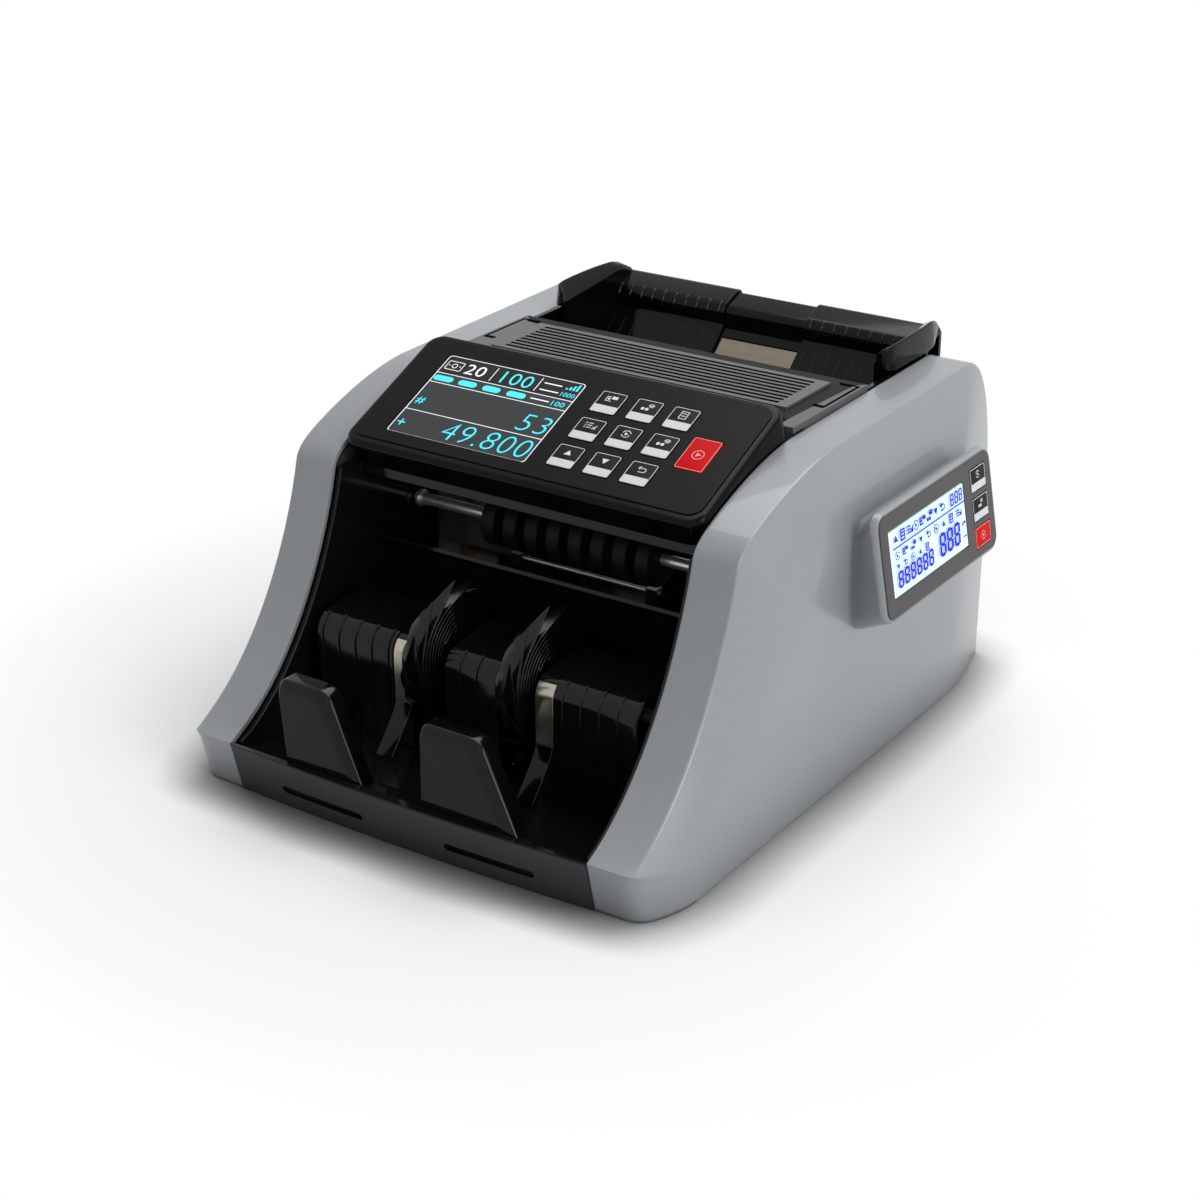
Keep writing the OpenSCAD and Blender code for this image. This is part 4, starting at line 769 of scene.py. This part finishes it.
# %% Icons as small shapes
# fill is a flat shape and line a stroke through points; disc has a centre, radius and steps; arc also a width,
# and then its steps, start and share of a turn
icon_shapes = {
    "up": [("fill", (-1.9, -1.5), (1.9, -1.5), (0, 1.7))],
    "down": [("fill", (-1.9, 1.5), (0, -1.7), (1.9, 1.5))],
    "return": [("line", (-2.0, 1.1), (1.0, 1.1)), ("line", (-1.0, 2.0), (-2.0, 1.1), (-1.0, 0.2)),
               ("arc", (1.0, -0.2), 1.3, 0.42, 12, 0.75, 0.5), ("line", (1.0, -1.5), (-1.2, -1.5))],
    "list": [("line", (-1.4, y), (0.8, y)) for y in (1.8, 0.3, -1.2)]
    + [("fill", (-3.0, y - 0.3), (-2.3, y - 0.3), (-2.3, y + 0.3), (-3.0, y + 0.3)) for y in (1.8, 0.3, -1.2)]
    + [("line", (1.8, -1.6), (3.2, -1.6), (3.2, 0.0)), ("line", (1.8, -0.4), (2.4, -1.0), (3.6, 0.8))],
    "cycle": [("arc", (0, 0), 2.2, 0.4, 18, start, 0.4) for start in (0.05, 0.55)]
    + [("fill", (-0.7, -1.0), (1.1, 0), (-0.7, 1.0))],
    "page": [("line", (-1.9, 2.4), (1.9, 2.4), (1.9, -2.4), (-1.9, -2.4), (-1.9, 2.4)),
             ("line", (-1.0, 1.0), (1.0, 1.0)), ("line", (-1.0, -0.6), (1.0, -0.6))],
    "note": [("fill", (0.0, 0.2), (3.0, 0.2), (3.0, 2.2), (0.0, 2.2)),
             ("line", (-0.8, 1.6), (-2.8, 1.6), (-2.8, -1.4), (0.2, -1.4)), ("disc", (-1.4, 0.2), 0.75, 14)],
    "coins": [("disc", (-1.9, -1.3), 0.95, 16), ("disc", (0.4, -1.3), 0.95, 16),
              ("line", (0.2, 1.2), (1.0, 2.2), (2.6, 2.2), (3.2, 1.2), (0.2, 1.2)), ("line", (1.0, 0.4), (2.8, 0.4))],
    "start": [("arc", (0, 0), 2.6, 0.4, 32), ("fill", (-0.9, -1.3), (1.5, 0), (-0.9, 1.3))],
}


def icon(kind, u, v, ink, size=1.0, pen=0.42):
    """A small generic icon round (u, v)."""
    def at(*points):
        return [(u + x * size, v + y * size) for x, y in points]

    parts = []
    for sort, *rest in icon_shapes[kind]:
        if sort == "fill":
            parts.append(prism(at(*rest), *ink))
        elif sort == "line":
            parts.append(line(at(*rest), pen * size, *ink))
        elif sort == "disc":
            parts.append(disc(at(rest[0])[0], rest[1] * size, *ink, rest[2]))
        else:
            parts.append(circle_line(at(rest[0])[0], rest[1] * size, rest[2] * size, *ink, *rest[3:]))
    return together(*parts)


def key_piece(name, width, length, cap_finish, kind, place, centre, low, high, radius=1.4, band=5.4, small=1.0):
    """A cap with its light line, its band and its icon."""
    ink = (high - 0.1, high + 0.05, place)
    cap = solid(name, *block(width, length, radius, low, high, 0.35, place, centre=centre), [cap_finish], angle=40)
    outline = hoop(ring(width, length, radius, 0.35, centre), ring(width, length, radius, 0.65, centre), *ink)
    v_foot = centre[1] - length / 2
    strips = []
    if band:
        field = ring(width - 0.9, band - 0.5, 0.9, centre=(centre[0], v_foot + 0.45 + (band - 0.5) / 2), steps=4)
        strips.append(solid("band", *prism(field, *ink), [key_band]))
    printing = together(outline, icon(kind, centre[0], v_foot + band + (length - band) / 2 - 0.2, ink, small))
    return joined(name, cap, solid("marks", *printing, [print_white if band else print_pink]), *strips)


icons = {"up": "up", "down": "down", "escape": "return", "menu": "list", "mode": "cycle", "batch": "coins",
         "currency": "note", "add": "coins", "detail": "page"}
for key, kind in icons.items():
    made = key_piece(key + "_key_cap", 14.4, 15.0, key_dark, kind, on_panel, key_centre(key), -2.8, 0.3)
    seat(made, "key_grey", key + "_key", body=key + "_key_body")
made = key_piece("start_key_cap", 15.3, 21.3, key_red, "start", on_panel, start_place, -2.8, 0.3, band=0, small=1.1)
seat(made, "key_red", "start_key", body="start_key_body")
print("keys on the panel:", len(icons) + 1)

# %% [markdown]
# ## Colour display
# A lit display is a dark sheet with bright shapes on it. Each shape has its own light, so the figures stay
# readable whatever the lamps do. Only numerals and plain signs are shown.

# %% Numerals that fit a box
def numerals(text, u0, u1, v0, v1, low, high, place, shear=0.0, heavy=0.0):
    """Points and faces of upright numerals that fill the box from (u0, v0) to (u1, v1)."""
    curve = bpy.data.curves.new("numerals", "FONT")
    curve.body = text
    curve.shear = shear
    curve.offset = heavy
    curve.resolution_u = 4
    curve.space_character = 1.06
    curve.extrude = 0.01
    holder = add_object("numerals", curve)
    graph = bpy.context.evaluated_depsgraph_get()
    mesh = bpy.data.meshes.new_from_object(holder.evaluated_get(graph), depsgraph=graph)
    bpy.data.objects.remove(holder)
    (x0, x1), (y0, y1) = [(min(c), max(c)) for c in zip(*[p.co[:2] for p in mesh.vertices])]
    points = [place(u0 + (p.co.x - x0) / (x1 - x0) * (u1 - u0), v0 + (p.co.y - y0) / (y1 - y0) * (v1 - v0),
                    high if p.co.z > 0 else low) for p in mesh.vertices]
    faces = [tuple(f.vertices) for f in mesh.polygons]
    bpy.data.meshes.remove(mesh)
    return points, faces


def bar(u0, u1, v0, v1, low, high, place):
    return prism([(u0, v0), (u1, v0), (u1, v1), (u0, v1)], low, high, place)


# %% What the colour display shows
face = -0.3
ink = (face - 0.1, -0.22, on_panel)
window, note = (-40.95, 36.1), (-74.6, 58.3)
frame_lines = together(
    hoop(ring(80.9, 57.9, 2.0, centre=window), ring(80.0, 57.0, 1.6, centre=window), *ink),
    *[bar(-81.1, -0.8, v - 0.2, v + 0.2, *ink) for v in (52.0, 45.0, 24.0)],
    *[bar(u - 0.2, u + 0.2, 53.6, 63.2, *ink) for u in (-51.0, -24.6)],
    numerals("20", -67.4, -56.0, 54.6, 61.8, *ink),
    *[bar(u0, u1, v, v + 0.7, *ink)
      for u0, u1, v in ((-22.2, -12.0, 60.0), (-22.2, -11.4, 55.2), (-23.0, -12.4, 48.2))],
    hoop(ring(9.6, 6.4, 0.9, centre=note), ring(8.8, 5.6, 0.6, centre=note), *ink),
    circle_line(note, 1.4, 0.4, *ink, 20), *[disc((note[0] + u, note[1]), 0.4, *ink, 10) for u in (-3.2, 3.2)])
figures = (("100", -45.6, -28.0, 54.0, 62.4, 0, -0.004), ("1000", -9.8, -2.0, 54.0, 57.0, 0, 0),
           ("100", -10.6, -3.4, 46.8, 50.0, 0, 0), ("53", -18.6, -2.4, 26.6, 38.2, 0.08, -0.019),
           ("49.800", -52.6, -2.4, 9.7, 21.7, 0.08, -0.019), ("#", -79.4, -74.6, 28.4, 33.4, 0, 0),
           ("+", -79.4, -75.0, 12.4, 16.8, 0, 0))
cyan_shapes = together(
    *[prism(ring(w, 3.7, 1.8, centre=(u, 48.4)), *ink)
      for u, w in ((-74.8, 11.4), (-60.3, 10.6), (-46.0, 10.2), (-31.4, 10.8))],
    *[bar(-9.4 + 1.9 * i, -8.3 + 1.9 * i, 59.0, 60.1 + 1.15 * i, *ink) for i in range(4)],
    *[numerals(text, *box, *ink, shear, heavy) for text, *box, shear, heavy in figures])
screen_base = of_node("display_module", "colour_display", [screen_dark], 0.15, "gloss_black")
header = solid("header", *bar(-81.0, -0.9, 52.2, 64.7, face - 0.1, face + 0.04, on_panel), [screen_head])
joined("colour_display", screen_base, header, solid("lines", *frame_lines, [screen_white]),
       solid("figures", *cyan_shapes, [screen_cyan]))
report(screen_base)

# %% [markdown]
# ## Side display
# A second readout leans out of the right cover in a pod. The pod is a soft block that grows out of the side,
# so it is lofted from its foot on the cover to the longer face, and a rolled edge leads round to the bezel.

# %% The pod and its dark face
pod_x, pod_y, pod_z, pod_tilt = half_w + 18.0, rear_y - 114.0, 115.0, math.radians(10)
pod_face, bezel_size, side_key_wide = (120.4, 54.4, 8.4), (116, 50), 16.4


def on_side(y, z, x):
    """From pod coordinates, y to the rear, z up the face and x out of it, to the machine's own."""
    c, s = math.cos(pod_tilt), math.sin(pod_tilt)
    return (pod_x + x * c - z * s, pod_y + y, pod_z + x * s + z * c)


def pod_rings():
    """Rings from the inside of the cover out to the rolled edge of the face and in to its seat."""
    foot = [(half_w - 1.0, pod_y + y, 106.0 + z) for y, z in ring(107.6, 56.6, 9, steps=8)]
    rings = [foot]
    foot_out = [(half_w + 0.5, y, z) for _, y, z in foot]
    rim = [on_side(y, z, -4.2) for y, z in ring(*pod_face, steps=8)]
    flare = [(half_w + 2.7, y + (r[1] - y) * 0.06, z + (r[2] - z) * 0.06) for (_, y, z), r in zip(foot_out, rim)]
    rings += [foot_out, flare]
    for share in (0.35, 0.7):
        rings.append([tuple(a + (b - a) * share for a, b in zip(p, q)) for p, q in zip(flare, rim)])
    rings.append(rim)
    for angle in (20, 40, 60, 80, 100, 120):
        a = math.radians(angle)
        rings.append([on_side(y, z, -4.2 + 3.8 * math.sin(min(a, math.pi / 2)) - (0.3 if angle > 90 else 0))
                      for y, z in ring(*pod_face, 2.4 * (1 - math.cos(a)) / 1.6, steps=8)])
    rings.append([on_side(y, z, -2.6) for y, z in ring(116.4, 50.4, 5.6, steps=8)])
    return rings


pod = solid("side_pod", *skin(pod_rings()), [cover_paint], angle=34)
even_shading(pod, 34)
seat(pod, "shell_grey", "side_display_housing")

bezel = solid("side_bezel", *block(*bezel_size, 5, -2, 0, 0.5, on_side, steps=8), [bezel_grey])
side_rows = {"side_mode": (14.0, 12.0, "cycle"), "side_add": (-1.0, 12.0, "coins"),
             "side_start": (-15.4, 10.5, "start")}
side_key_y = bezel_size[0] / 2 - 6 - side_key_wide / 2
holes = [prism(ring(17.0, h + 0.6, 0.6, centre=(side_key_y, z)), -4, 2, on_side) for z, h, _ in side_rows.values()]
holes.append(prism(ring(78.6, 33.6, 0.3, centre=(46.7 - bezel_size[0] / 2, 0.3)), -4, 2, on_side))
cut(bezel, solid("hole", *together(*holes), [bezel_grey]))
seat(bezel, "overlay_film", "side_display_bezel")
report(pod)
for key, (z, height, kind) in side_rows.items():
    red = key == "side_start"
    made = key_piece(key + "_key_cap", side_key_wide, height, key_red if red else key_dark, kind, on_side,
                     (side_key_y, z), -1.9, 0.1, radius=0.8, band=0 if red else 4.2, small=0.8)
    seat(made, "key_red" if red else "key_grey", key + "_key", body=key + "_key_body")

# %% [markdown]
# The readout is a reflective liquid crystal: pale glass with blue segments, both given a painted glow. Seven-segment
# figures follow a rule, so a function draws them, and a row of small plain signs takes the place of the words.

# %% Segment figures and signs of the readout
def figure(u, v, width, height, thick, slant=0.06):
    """Segments of one figure whose lower left corner is at (u, v)."""
    w, h, t, g = width, height, thick, thick * 0.22
    spans = {"a": ((t * 0.6, h - t), (w - t * 0.6, h)), "d": ((t * 0.6, 0), (w - t * 0.6, t)),
             "g": ((t * 0.6, (h - t) / 2), (w - t * 0.6, (h + t) / 2)), "f": ((0, h / 2 + g), (t, h - t * 0.5)),
             "e": ((0, t * 0.5), (t, h / 2 - g)), "b": ((w - t, h / 2 + g), (w, h - t * 0.5)),
             "c": ((w - t, t * 0.5), (w, h / 2 - g))}
    parts = []
    for name, ((x0, y0), (x1, y1)) in sorted(spans.items()):
        x0, x1 = (x0 + g, x1 - g) if name in "adg" else (x0, x1)
        parts.append(prism([(u + x + slant * y, v + y) for x, y in ((x0, y0), (x1, y0), (x1, y1), (x0, y1))],
                           *lcd_ink))
    return together(*parts)


lcd_ink = (0.6, 0.76, on_side)
marks = [bar(-48.5, 26.4, 7.6, 8.2, *lcd_ink)]
for count, u, step, *shape in ((3, 11.6, 4.6, 9.3, 3.5, 6.0, 0.75), (6, -46.6, 6.25, -12.0, 4.9, 8.2, 1.25),
                               (3, -3.2, 7.7, -11.6, 6.1, 11.6, 1.6)):
    marks += [figure(u + step * i, *shape) for i in range(count)]
signs = ("up", "page", "list", "cycle", "note", "coins", "down", "return", "start")
for count, first, step, v, size in ((8, 0, 6.9, 12.2, 1.0), (9, 3, 8.0, 3.9, 0.85), (5, 6, 7.4, -1.4, 0.7)):
    marks += [icon(signs[(i + first) % 9], -45.0 + step * i, v, lcd_ink, size, 0.75) for i in range(count)]
marks += [icon("note", 23.4, -3.0, lcd_ink, 0.55), bar(22.0, 25.0, -9.6, -9.0, *lcd_ink)]
glass = of_node("side_screen", "side_readout", [lcd_pale], 0.15, "screen")
joined("side_readout", glass, solid("segments", *together(*marks), [lcd_blue_painted_glow]))
report(glass)

# %% [markdown]
# ## Things that repeat
# Wheel leaves, rollers and ridges repeat by a rule. Copying by hand works until a number changes, so one
# Geometry Nodes tree sets an element out along a line and another sets it round an axis. Both take their
# sizes as named inputs, end in real geometry and set the finish.

# %% A row and a wheel in Geometry Nodes
def repeat_tree(name, round_axis):
    tree = bpy.data.node_groups.new(name, "GeometryNodeTree")
    for title, kind in (("Geometry", "Geometry"), ("Count", "Int"), ("Turn" if round_axis else "Pitch", "Vector"),
                        ("Place", "Vector"), ("Finish", "Material")):
        tree.interface.new_socket(title, in_out="INPUT", socket_type="NodeSocket" + kind)
    tree.interface.new_socket("Geometry", in_out="OUTPUT", socket_type="NodeSocketGeometry")
    given = tree.nodes.new("NodeGroupInput").outputs
    spots = add_node(tree, "GeometryNodeMeshLine",
                     {"Count": given["Count"], "Offset": (0, 0, 0) if round_axis else given["Pitch"]}, mode="OFFSET")
    copies = add_node(tree, "GeometryNodeInstanceOnPoints",
                      {"Points": spots.outputs["Mesh"], "Instance": given["Geometry"]})
    if round_axis:
        number = add_node(tree, "GeometryNodeInputIndex")
        angle = add_node(tree, "ShaderNodeVectorMath", {0: given["Turn"], "Scale": number.outputs["Index"]},
                         operation="SCALE")
        feed(copies, {"Rotation": angle.outputs["Vector"]})
    real = add_node(tree, "GeometryNodeRealizeInstances", {"Geometry": copies.outputs["Instances"]})
    moved = add_node(tree, "GeometryNodeTransform",
                     {"Geometry": real.outputs["Geometry"], "Translation": given["Place"]})
    coat = add_node(tree, "GeometryNodeSetMaterial",
                    {"Geometry": moved.outputs["Geometry"], "Material": given["Finish"]})
    add_node(tree, "NodeGroupOutput", {"Geometry": coat.outputs["Geometry"]})
    return tree


row_tree, wheel_tree = repeat_tree("set_out_in_a_row", False), repeat_tree("set_out_round_an_axis", True)


def repeated(piece, tree, count, step, place, material):
    """Repeats a piece, then turns the result into a plain mesh. Step and place are in mm, or a turn in radians."""
    rule = piece.modifiers.new("Repeat", "NODES")
    rule.node_group = tree
    keys = {item.name: item.identifier for item in tree.interface.items_tree if item.in_out == "INPUT"}
    rule[keys["Count"]] = count
    if tree is wheel_tree:
        rule[keys["Turn"]] = step
    else:
        rule[keys["Pitch"]] = [c * MM for c in step]
    rule[keys["Place"]] = [c * MM for c in place]
    rule[keys["Finish"]] = material
    piece.data.update()
    return settle_modifiers(piece)


print("trees:", row_tree.name, wheel_tree.name)

# %% [markdown]
# ## Note guides
# A guide is one moulding. Its hooked plate is an outline pushed out along X, its ridges are set out by the row
# tree, and its side wall is lofted through stations along Y: wall, lip and a flank that falls to the cover.

# %% Side wall with its swelling lip
guide_in, guide_out, ridge_pitch = 24.5, 92.5, 7.05
# y, height of the fold, crest x and z, outer foot x and z
wing_stations = ((99.6, 178.4, 94.4, 182.6, 94.7, 177.0), (100.4, 178.6, 96.4, 184.8, 97.6, 175.2),
                 (102.6, 178.8, 98.2, 186.2, 100.2, 174.0), (107, 179.2, 99.0, 186.6, 101.4, 173.6),
                 (116, 180.0, 99.2, 186.9, 101.4, 173.6), (127, 181.0, 99.1, 187.0, 101.4, 173.6),
                 (137, 182.2, 98.8, 187.0, 101.3, 173.6), (145, 183.2, 98.2, 186.9, 101.0, 173.6),
                 (150.6, 183.9, 97.6, 186.8, 100.2, 173.8), (151.4, 183.9, 97.5, 186.7, 100.0, 174.0),
                 (153.5, 184.0, 97.1, 186.4, 99.3, 175.2), (157, 183.7, 96.4, 185.5, 98.2, 177.2),
                 (160.5, 182.6, 95.7, 183.8, 97.0, 178.6), (163.5, 181.0, 95.0, 181.8, 95.9, 179.4),
                 (166, 179.9, 94.4, 180.3, 94.8, 179.6))


def wing_foot(y):
    """Height of the lower end of the wall, a little inside the hooked plate."""
    if y < 151:
        return floor_top.y - (floor_top.x - y) * math.tan(hopper_slope) + 1.0
    return 168.1 + math.sqrt(50.4 - (157.5 - y) ** 2) if y < 155 else 174.6 + (y - 155) * 0.34


def wing():
    rings = []
    for y, fold, cx, cz, ox, oz in wing_stations:
        inner, foot = guide_out, wing_foot(y)
        path = [(inner, foot), (inner, fold - 1.4), (inner + 0.35, fold - 0.3), (inner + 1.2, fold + 0.8)]
        path += [(inner + 1.2 + (cx - inner - 1.9) * t, fold + 0.8 + (cz - fold - 1.15) * t) for t in (0.5, 1)]
        path += [(cx, cz), (cx + 0.6, cz - 0.25), (cx + 0.95, cz - 0.9)]
        path += [(cx + 0.95 + (ox - cx - 0.95) * t, cz - 0.9 + (oz - cz + 1.4) * t) for t in (0.3, 0.65, 1)]
        path += [(ox - 0.4, oz), (guide_out + 1.6, oz), (guide_out + 1.6, foot)]
        rings.append([(x, y, z) for x, z in path])
    return skin(rings)


print("stations of a side wall:", len(wing_stations))

# %% Both guides
hook_outline = surface + guide_line(0.3)[::-1]
for side, hand in ((-1, "left"), (1, "right")):
    hook_plate = plate_x(hook_outline, *sorted((side * guide_in, side * (guide_out + 1.6))))
    hook = soften(solid("hook", *hook_plate, [gloss_black]), 0.4, 3)
    walls, wall_faces = wing()
    wall = even_shading(solid("wall", [(side * x, y, z) for x, y, z in walls], wall_faces, [gloss_black]), 50)
    rows, first = [], side * (guide_in + 3.4)
    for path, width, height in ((bar_ridge, 0.7, 1.0), (floor_ridge, 0.5, 0.6)):
        row = solid("ridges", *ridge(path, width, height), [stop_black], angle=60)
        rows.append(repeated(row, row_tree, 10, (side * ridge_pitch, 0, 0), (first, 0, 0), stop_black))
    guide = joined(f"{hand}_guide_form", hook, wall, *rows)
    seat(guide, "gloss_black", f"{hand}_note_guide", body=f"{hand}_guide")
    report(guide)

# %% [markdown]
# ## Stacker wheels
# A note falls between the curved rubber fingers of two wheels and is laid down as they turn. Each finger is a
# thin blade that winds in on the hub and narrows to a point at its free end. One blade is modelled, and the
# wheel tree sets the others out round the shaft.

# %% Blade, hub and both wheels
stack_y, stack_z, wheel_x, wheel_shift = front_y + 80.0, 62.0, 27, 1.8
finger_width, finger_count = 12.6, 14


def blade():
    """A finger: a straight pointed leaf that stands off a ring and then winds in on the hub, round X."""
    reach, ring_radius, straight, sweep_angle, steps = 41.5, 29.5, 40.0, 190.0, 34
    lean = math.degrees(math.acos(ring_radius / reach))
    rings = []
    for i in range(steps + 1):
        turned_by = sweep_angle * i / steps
        if turned_by <= straight:
            radius = ring_radius / math.cos(math.radians(lean - turned_by))
        else:
            radius = ring_radius + 0.1 - 14.4 * (turned_by - straight) / (sweep_angle - straight)
        along = min(1.0, turned_by / 36.0) ** 0.82
        half = finger_width / 2 * (0.06 + 0.94 * along)
        middle = finger_width / 2 - half
        thick = 0.7 + 0.6 * along
        a = math.radians(92 + turned_by)
        rings.append([(middle + x, r * math.cos(a), r * math.sin(a))
                      for x, r in ((-half, radius - 0.2), (-half + 0.2, radius), (half - 0.2, radius),
                                   (half, radius - 0.2), (half, radius - thick), (-half, radius - thick))])
    return skin(rings)


def turned(profile, steps=64, y=0.0, z=0.0, x0=0.0):
    """A shape turned on an axis along X from a closed profile of (x, radius)."""
    return skin([[(x0 + x, y + r * math.cos(math.tau * s / steps), z + r * math.sin(math.tau * s / steps))
                  for x, r in profile] for s in range(steps)], closed=True)


def rounded_tyre(width, outer, inner, edge):
    """Closed profile of a ring with rounded outer edges."""
    h = width / 2
    shoulder_arc = arc((h - edge, outer - edge), edge, 90, 0, 4)
    return [(-h, inner)] + [(-x, r) for x, r in shoulder_arc[::-1]] + shoulder_arc + [(h, inner)]


for side, hand in ((-1, "left"), (1, "right")):
    x = side * wheel_x - wheel_shift
    fingers = solid("fingers", *blade(), [wheel_rubber], angle=50)
    repeated(fingers, wheel_tree, finger_count, (math.tau / finger_count, 0, 0), (x, stack_y, stack_z), wheel_rubber)
    hub = solid("hub", *turned(rounded_tyre(12.4, 16.0, 3.05, 1.2), 72, stack_y, stack_z, x), [wheel_rubber])
    wheel = joined(f"{hand}_wheel_fingers", fingers, hub)
    seat(wheel, "black_plastic", f"{hand}_stacker_wheel", body="stacker_train")
    report(wheel)

# %% [markdown]
# ## Exit rollers, shafts and rod
# Eight rubber rollers on a ground shaft push the note out. Their rounded shoulders matter, because each one
# catches its own thin line of light.

# %% Rollers by the row tree, shafts by turning
exit_y, exit_z, roller_count, roller_span = front_y + 148.2, 106.4, 8, 90
roller = solid("exit_roller_row", *turned(rounded_tyre(8.0, 14.0, 3.02, 1.1), 72), [roller_rubber])
repeated(roller, row_tree, roller_count, (roller_span / (roller_count - 1), 0, 0), (-roller_span / 2, exit_y, exit_z),
         roller_rubber)
seat(roller, "rubber", "exit_rollers", body="exit_train")


def shaft_profile(x0, x1, r, c=0.5):
    return [(x0, 0.01), (x0, r - c), (x0 + c, r), (x1 - c, r), (x1, r - c), (x1, 0.01)]


shaft = solid("exit_shaft_bar", *turned(shaft_profile(-118, 108, 3.0), 48, exit_y, exit_z), [ground_steel])
collars = solid("collars", *turned(rounded_tyre(2.4, 4.4, 2.9, 0.6), 40, exit_y, exit_z, -95.4), [ground_steel])
seat(joined("exit_shaft_bar", shaft, collars), "steel", "exit_shaft", body="exit_train")
bosses = solid("shaft_bosses", *together(*[turned(rounded_tyre(3.6, 8.0, 3.3, 0.8), 48, exit_y, exit_z, side * 99.6)
                                          for side in (-1, 1)]), [bay_black])
seat(bosses, "black_plastic")
rod = solid("thin_rod", *turned(shaft_profile(-43, 43, 1.2, 0.25), 32, exit_y + 6, exit_z - 21.3), [ground_steel])
seat(rod, "steel", "guide_rod")
report(roller)

# %% [markdown]
# ## Inside the machine
# Frames, rollers, belts, gears and boards hide behind the covers, but a hatch or a lid may open on them.
# Their solids stay as they are and take the finishes of real sheet steel, rubber, brass and boards.

# %% Finishes of the inner parts
inner = {
    zinc_sheet: ("left_side_frame", "right_side_frame", "motor"), ground_steel: ("frame_stays", "motor_pulley"),
    sintered_brass: ("shaft_bushes",), board_green: ("panel_board", "circuit_boards"),
    soft_rubber: ("drive_roller", "feed_roller", "pickup_roller", "drive_belt", "stacker_belt", "feed_belt"),
    key_band: ("drive_gear", "exit_gear"),
}
for material, nodes in inner.items():
    for node in nodes:
        part = frame["nodes"][node]
        part.data.materials.clear()
        part.data.materials.append(material)
print("inner parts:", sum(len(nodes) for nodes in inner.values()))

# %% [markdown]
# ## Floor, light and camera
# A product picture uses a white sweep and big soft lights. The floor here answers the camera and mirrors with
# plain white far away and shows real light and shadow close to the machine, so it needs no edge. Corners near
# the machine are deepened a little, because soft lamps alone leave no shade where the part meets the floor.

# %% Floor and world
def sees_white(tree):
    """1 for the rays that see the background directly, in a mirror or through glass."""
    path = add_node(tree, "ShaderNodeLightPath").outputs
    total = path["Is Camera Ray"]
    for kind in ("Is Glossy Ray", "Is Transmission Ray"):
        total = add_node(tree, "ShaderNodeMath", {0: total, 1: path[kind]}, operation="MAXIMUM").outputs["Value"]
    return total


floor_mesh = bpy.data.meshes.new("studio_floor")
half_floor, shade_reach, shade_power, white_from, white_to = 6, 0.03, 1.8, 0.19, 0.36
floor_mesh.from_pydata([(x * half_floor, y * half_floor, 0) for x, y in ((-1, -1), (1, -1), (1, 1), (-1, 1))], [],
                       [(0, 1, 2, 3)])
floor_white = bpy.data.materials.new("floor_white")
floor_white.use_nodes = True
tree = floor_white.node_tree
nearness = add_node(tree, "ShaderNodeAmbientOcclusion", {"Distance": shade_reach}, samples=8)
deepen = add_node(tree, "ShaderNodeMath", {0: nearness.outputs["AO"], 1: shade_power}, operation="POWER")
tone = add_node(tree, "ShaderNodeVectorMath", {0: (0.95, 0.95, 0.95), "Scale": deepen.outputs["Value"]},
                operation="SCALE")
shader = tree.nodes["Principled BSDF"]
feed(shader, {"Base Color": tone.outputs["Vector"], "Roughness": 0.9, "Specular IOR Level": 0.1})
far = add_node(tree, "ShaderNodeEmission", {"Strength": 1.0})
place = add_node(tree, "ShaderNodeTexCoord")
reach = add_node(tree, "ShaderNodeVectorMath", {0: place.outputs["Object"]}, operation="LENGTH")
fade = add_node(tree, "ShaderNodeMapRange", {"Value": reach.outputs["Value"], "From Min": white_from,
                                             "From Max": white_to})
seen = add_node(tree, "ShaderNodeMath", {0: sees_white(tree), 1: fade.outputs["Result"]}, operation="MULTIPLY")
blend = add_node(tree, "ShaderNodeMixShader", {0: seen.outputs["Value"], 1: shader.outputs["BSDF"],
                                               2: far.outputs["Emission"]})
feed(tree.nodes["Material Output"], {"Surface": blend.outputs["Shader"]})
studio_floor = link("studio_floor", floor_mesh, [floor_white])

world = bpy.data.worlds.new("studio")
bpy.context.scene.world = world
world.use_nodes = True
tree = world.node_tree
background = tree.nodes["Background"]
feed(background, {"Strength": 0.34, "Color": (1, 1, 1, 1)})
white = add_node(tree, "ShaderNodeBackground", {"Strength": 1.0, "Color": (1, 1, 1, 1)})
choose = add_node(tree, "ShaderNodeMixShader", {0: sees_white(tree), 1: background.outputs["Background"],
                                                2: white.outputs["Background"]})
feed(tree.nodes["World Output"], {"Surface": choose.outputs["Shader"]})
print("floor and world ready")


# %% Soft lamps
def soft_lamp(name, place, aim, size, power):
    lamp = bpy.data.lights.new(name, "AREA")
    lamp.shape = "RECTANGLE"
    lamp.size, lamp.size_y = size
    lamp.energy = power
    holder = add_object(name, lamp)
    holder.location = place
    holder.rotation_euler = (Vector(aim) - Vector(place)).to_track_quat("-Z", "Y").to_euler()


soft_lamp("overhead_lamp", (0.1, 0.55, 1.5), (0, 0.05, 0.1), (1.6, 1.0), 17)
soft_lamp("side_lamp", (1.7, -0.35, 0.75), (0, 0, 0.1), (0.7, 1.1), 12)
soft_lamp("edge_lamp", (0.75, -1.5, 1.0), (0.05, -0.1, 0.08), (0.12, 0.9), 0.8)
print("lamps:", len(bpy.data.lights))

# %% Camera
lens = bpy.data.cameras.new("camera")
lens.lens, lens.sensor_width = 72.15, 36
camera = add_object("camera", lens)
camera.location = (0.6077, -0.9175, 0.5559)
looking_down, turned_right = 24.09, 33.68
camera.rotation_euler = (math.radians(90 - looking_down), 0, math.radians(turned_right))
bpy.context.scene.camera = camera
bpy.context.scene.view_settings.view_transform = "Standard"
print("camera at", tuple(round(v, 3) for v in camera.location))
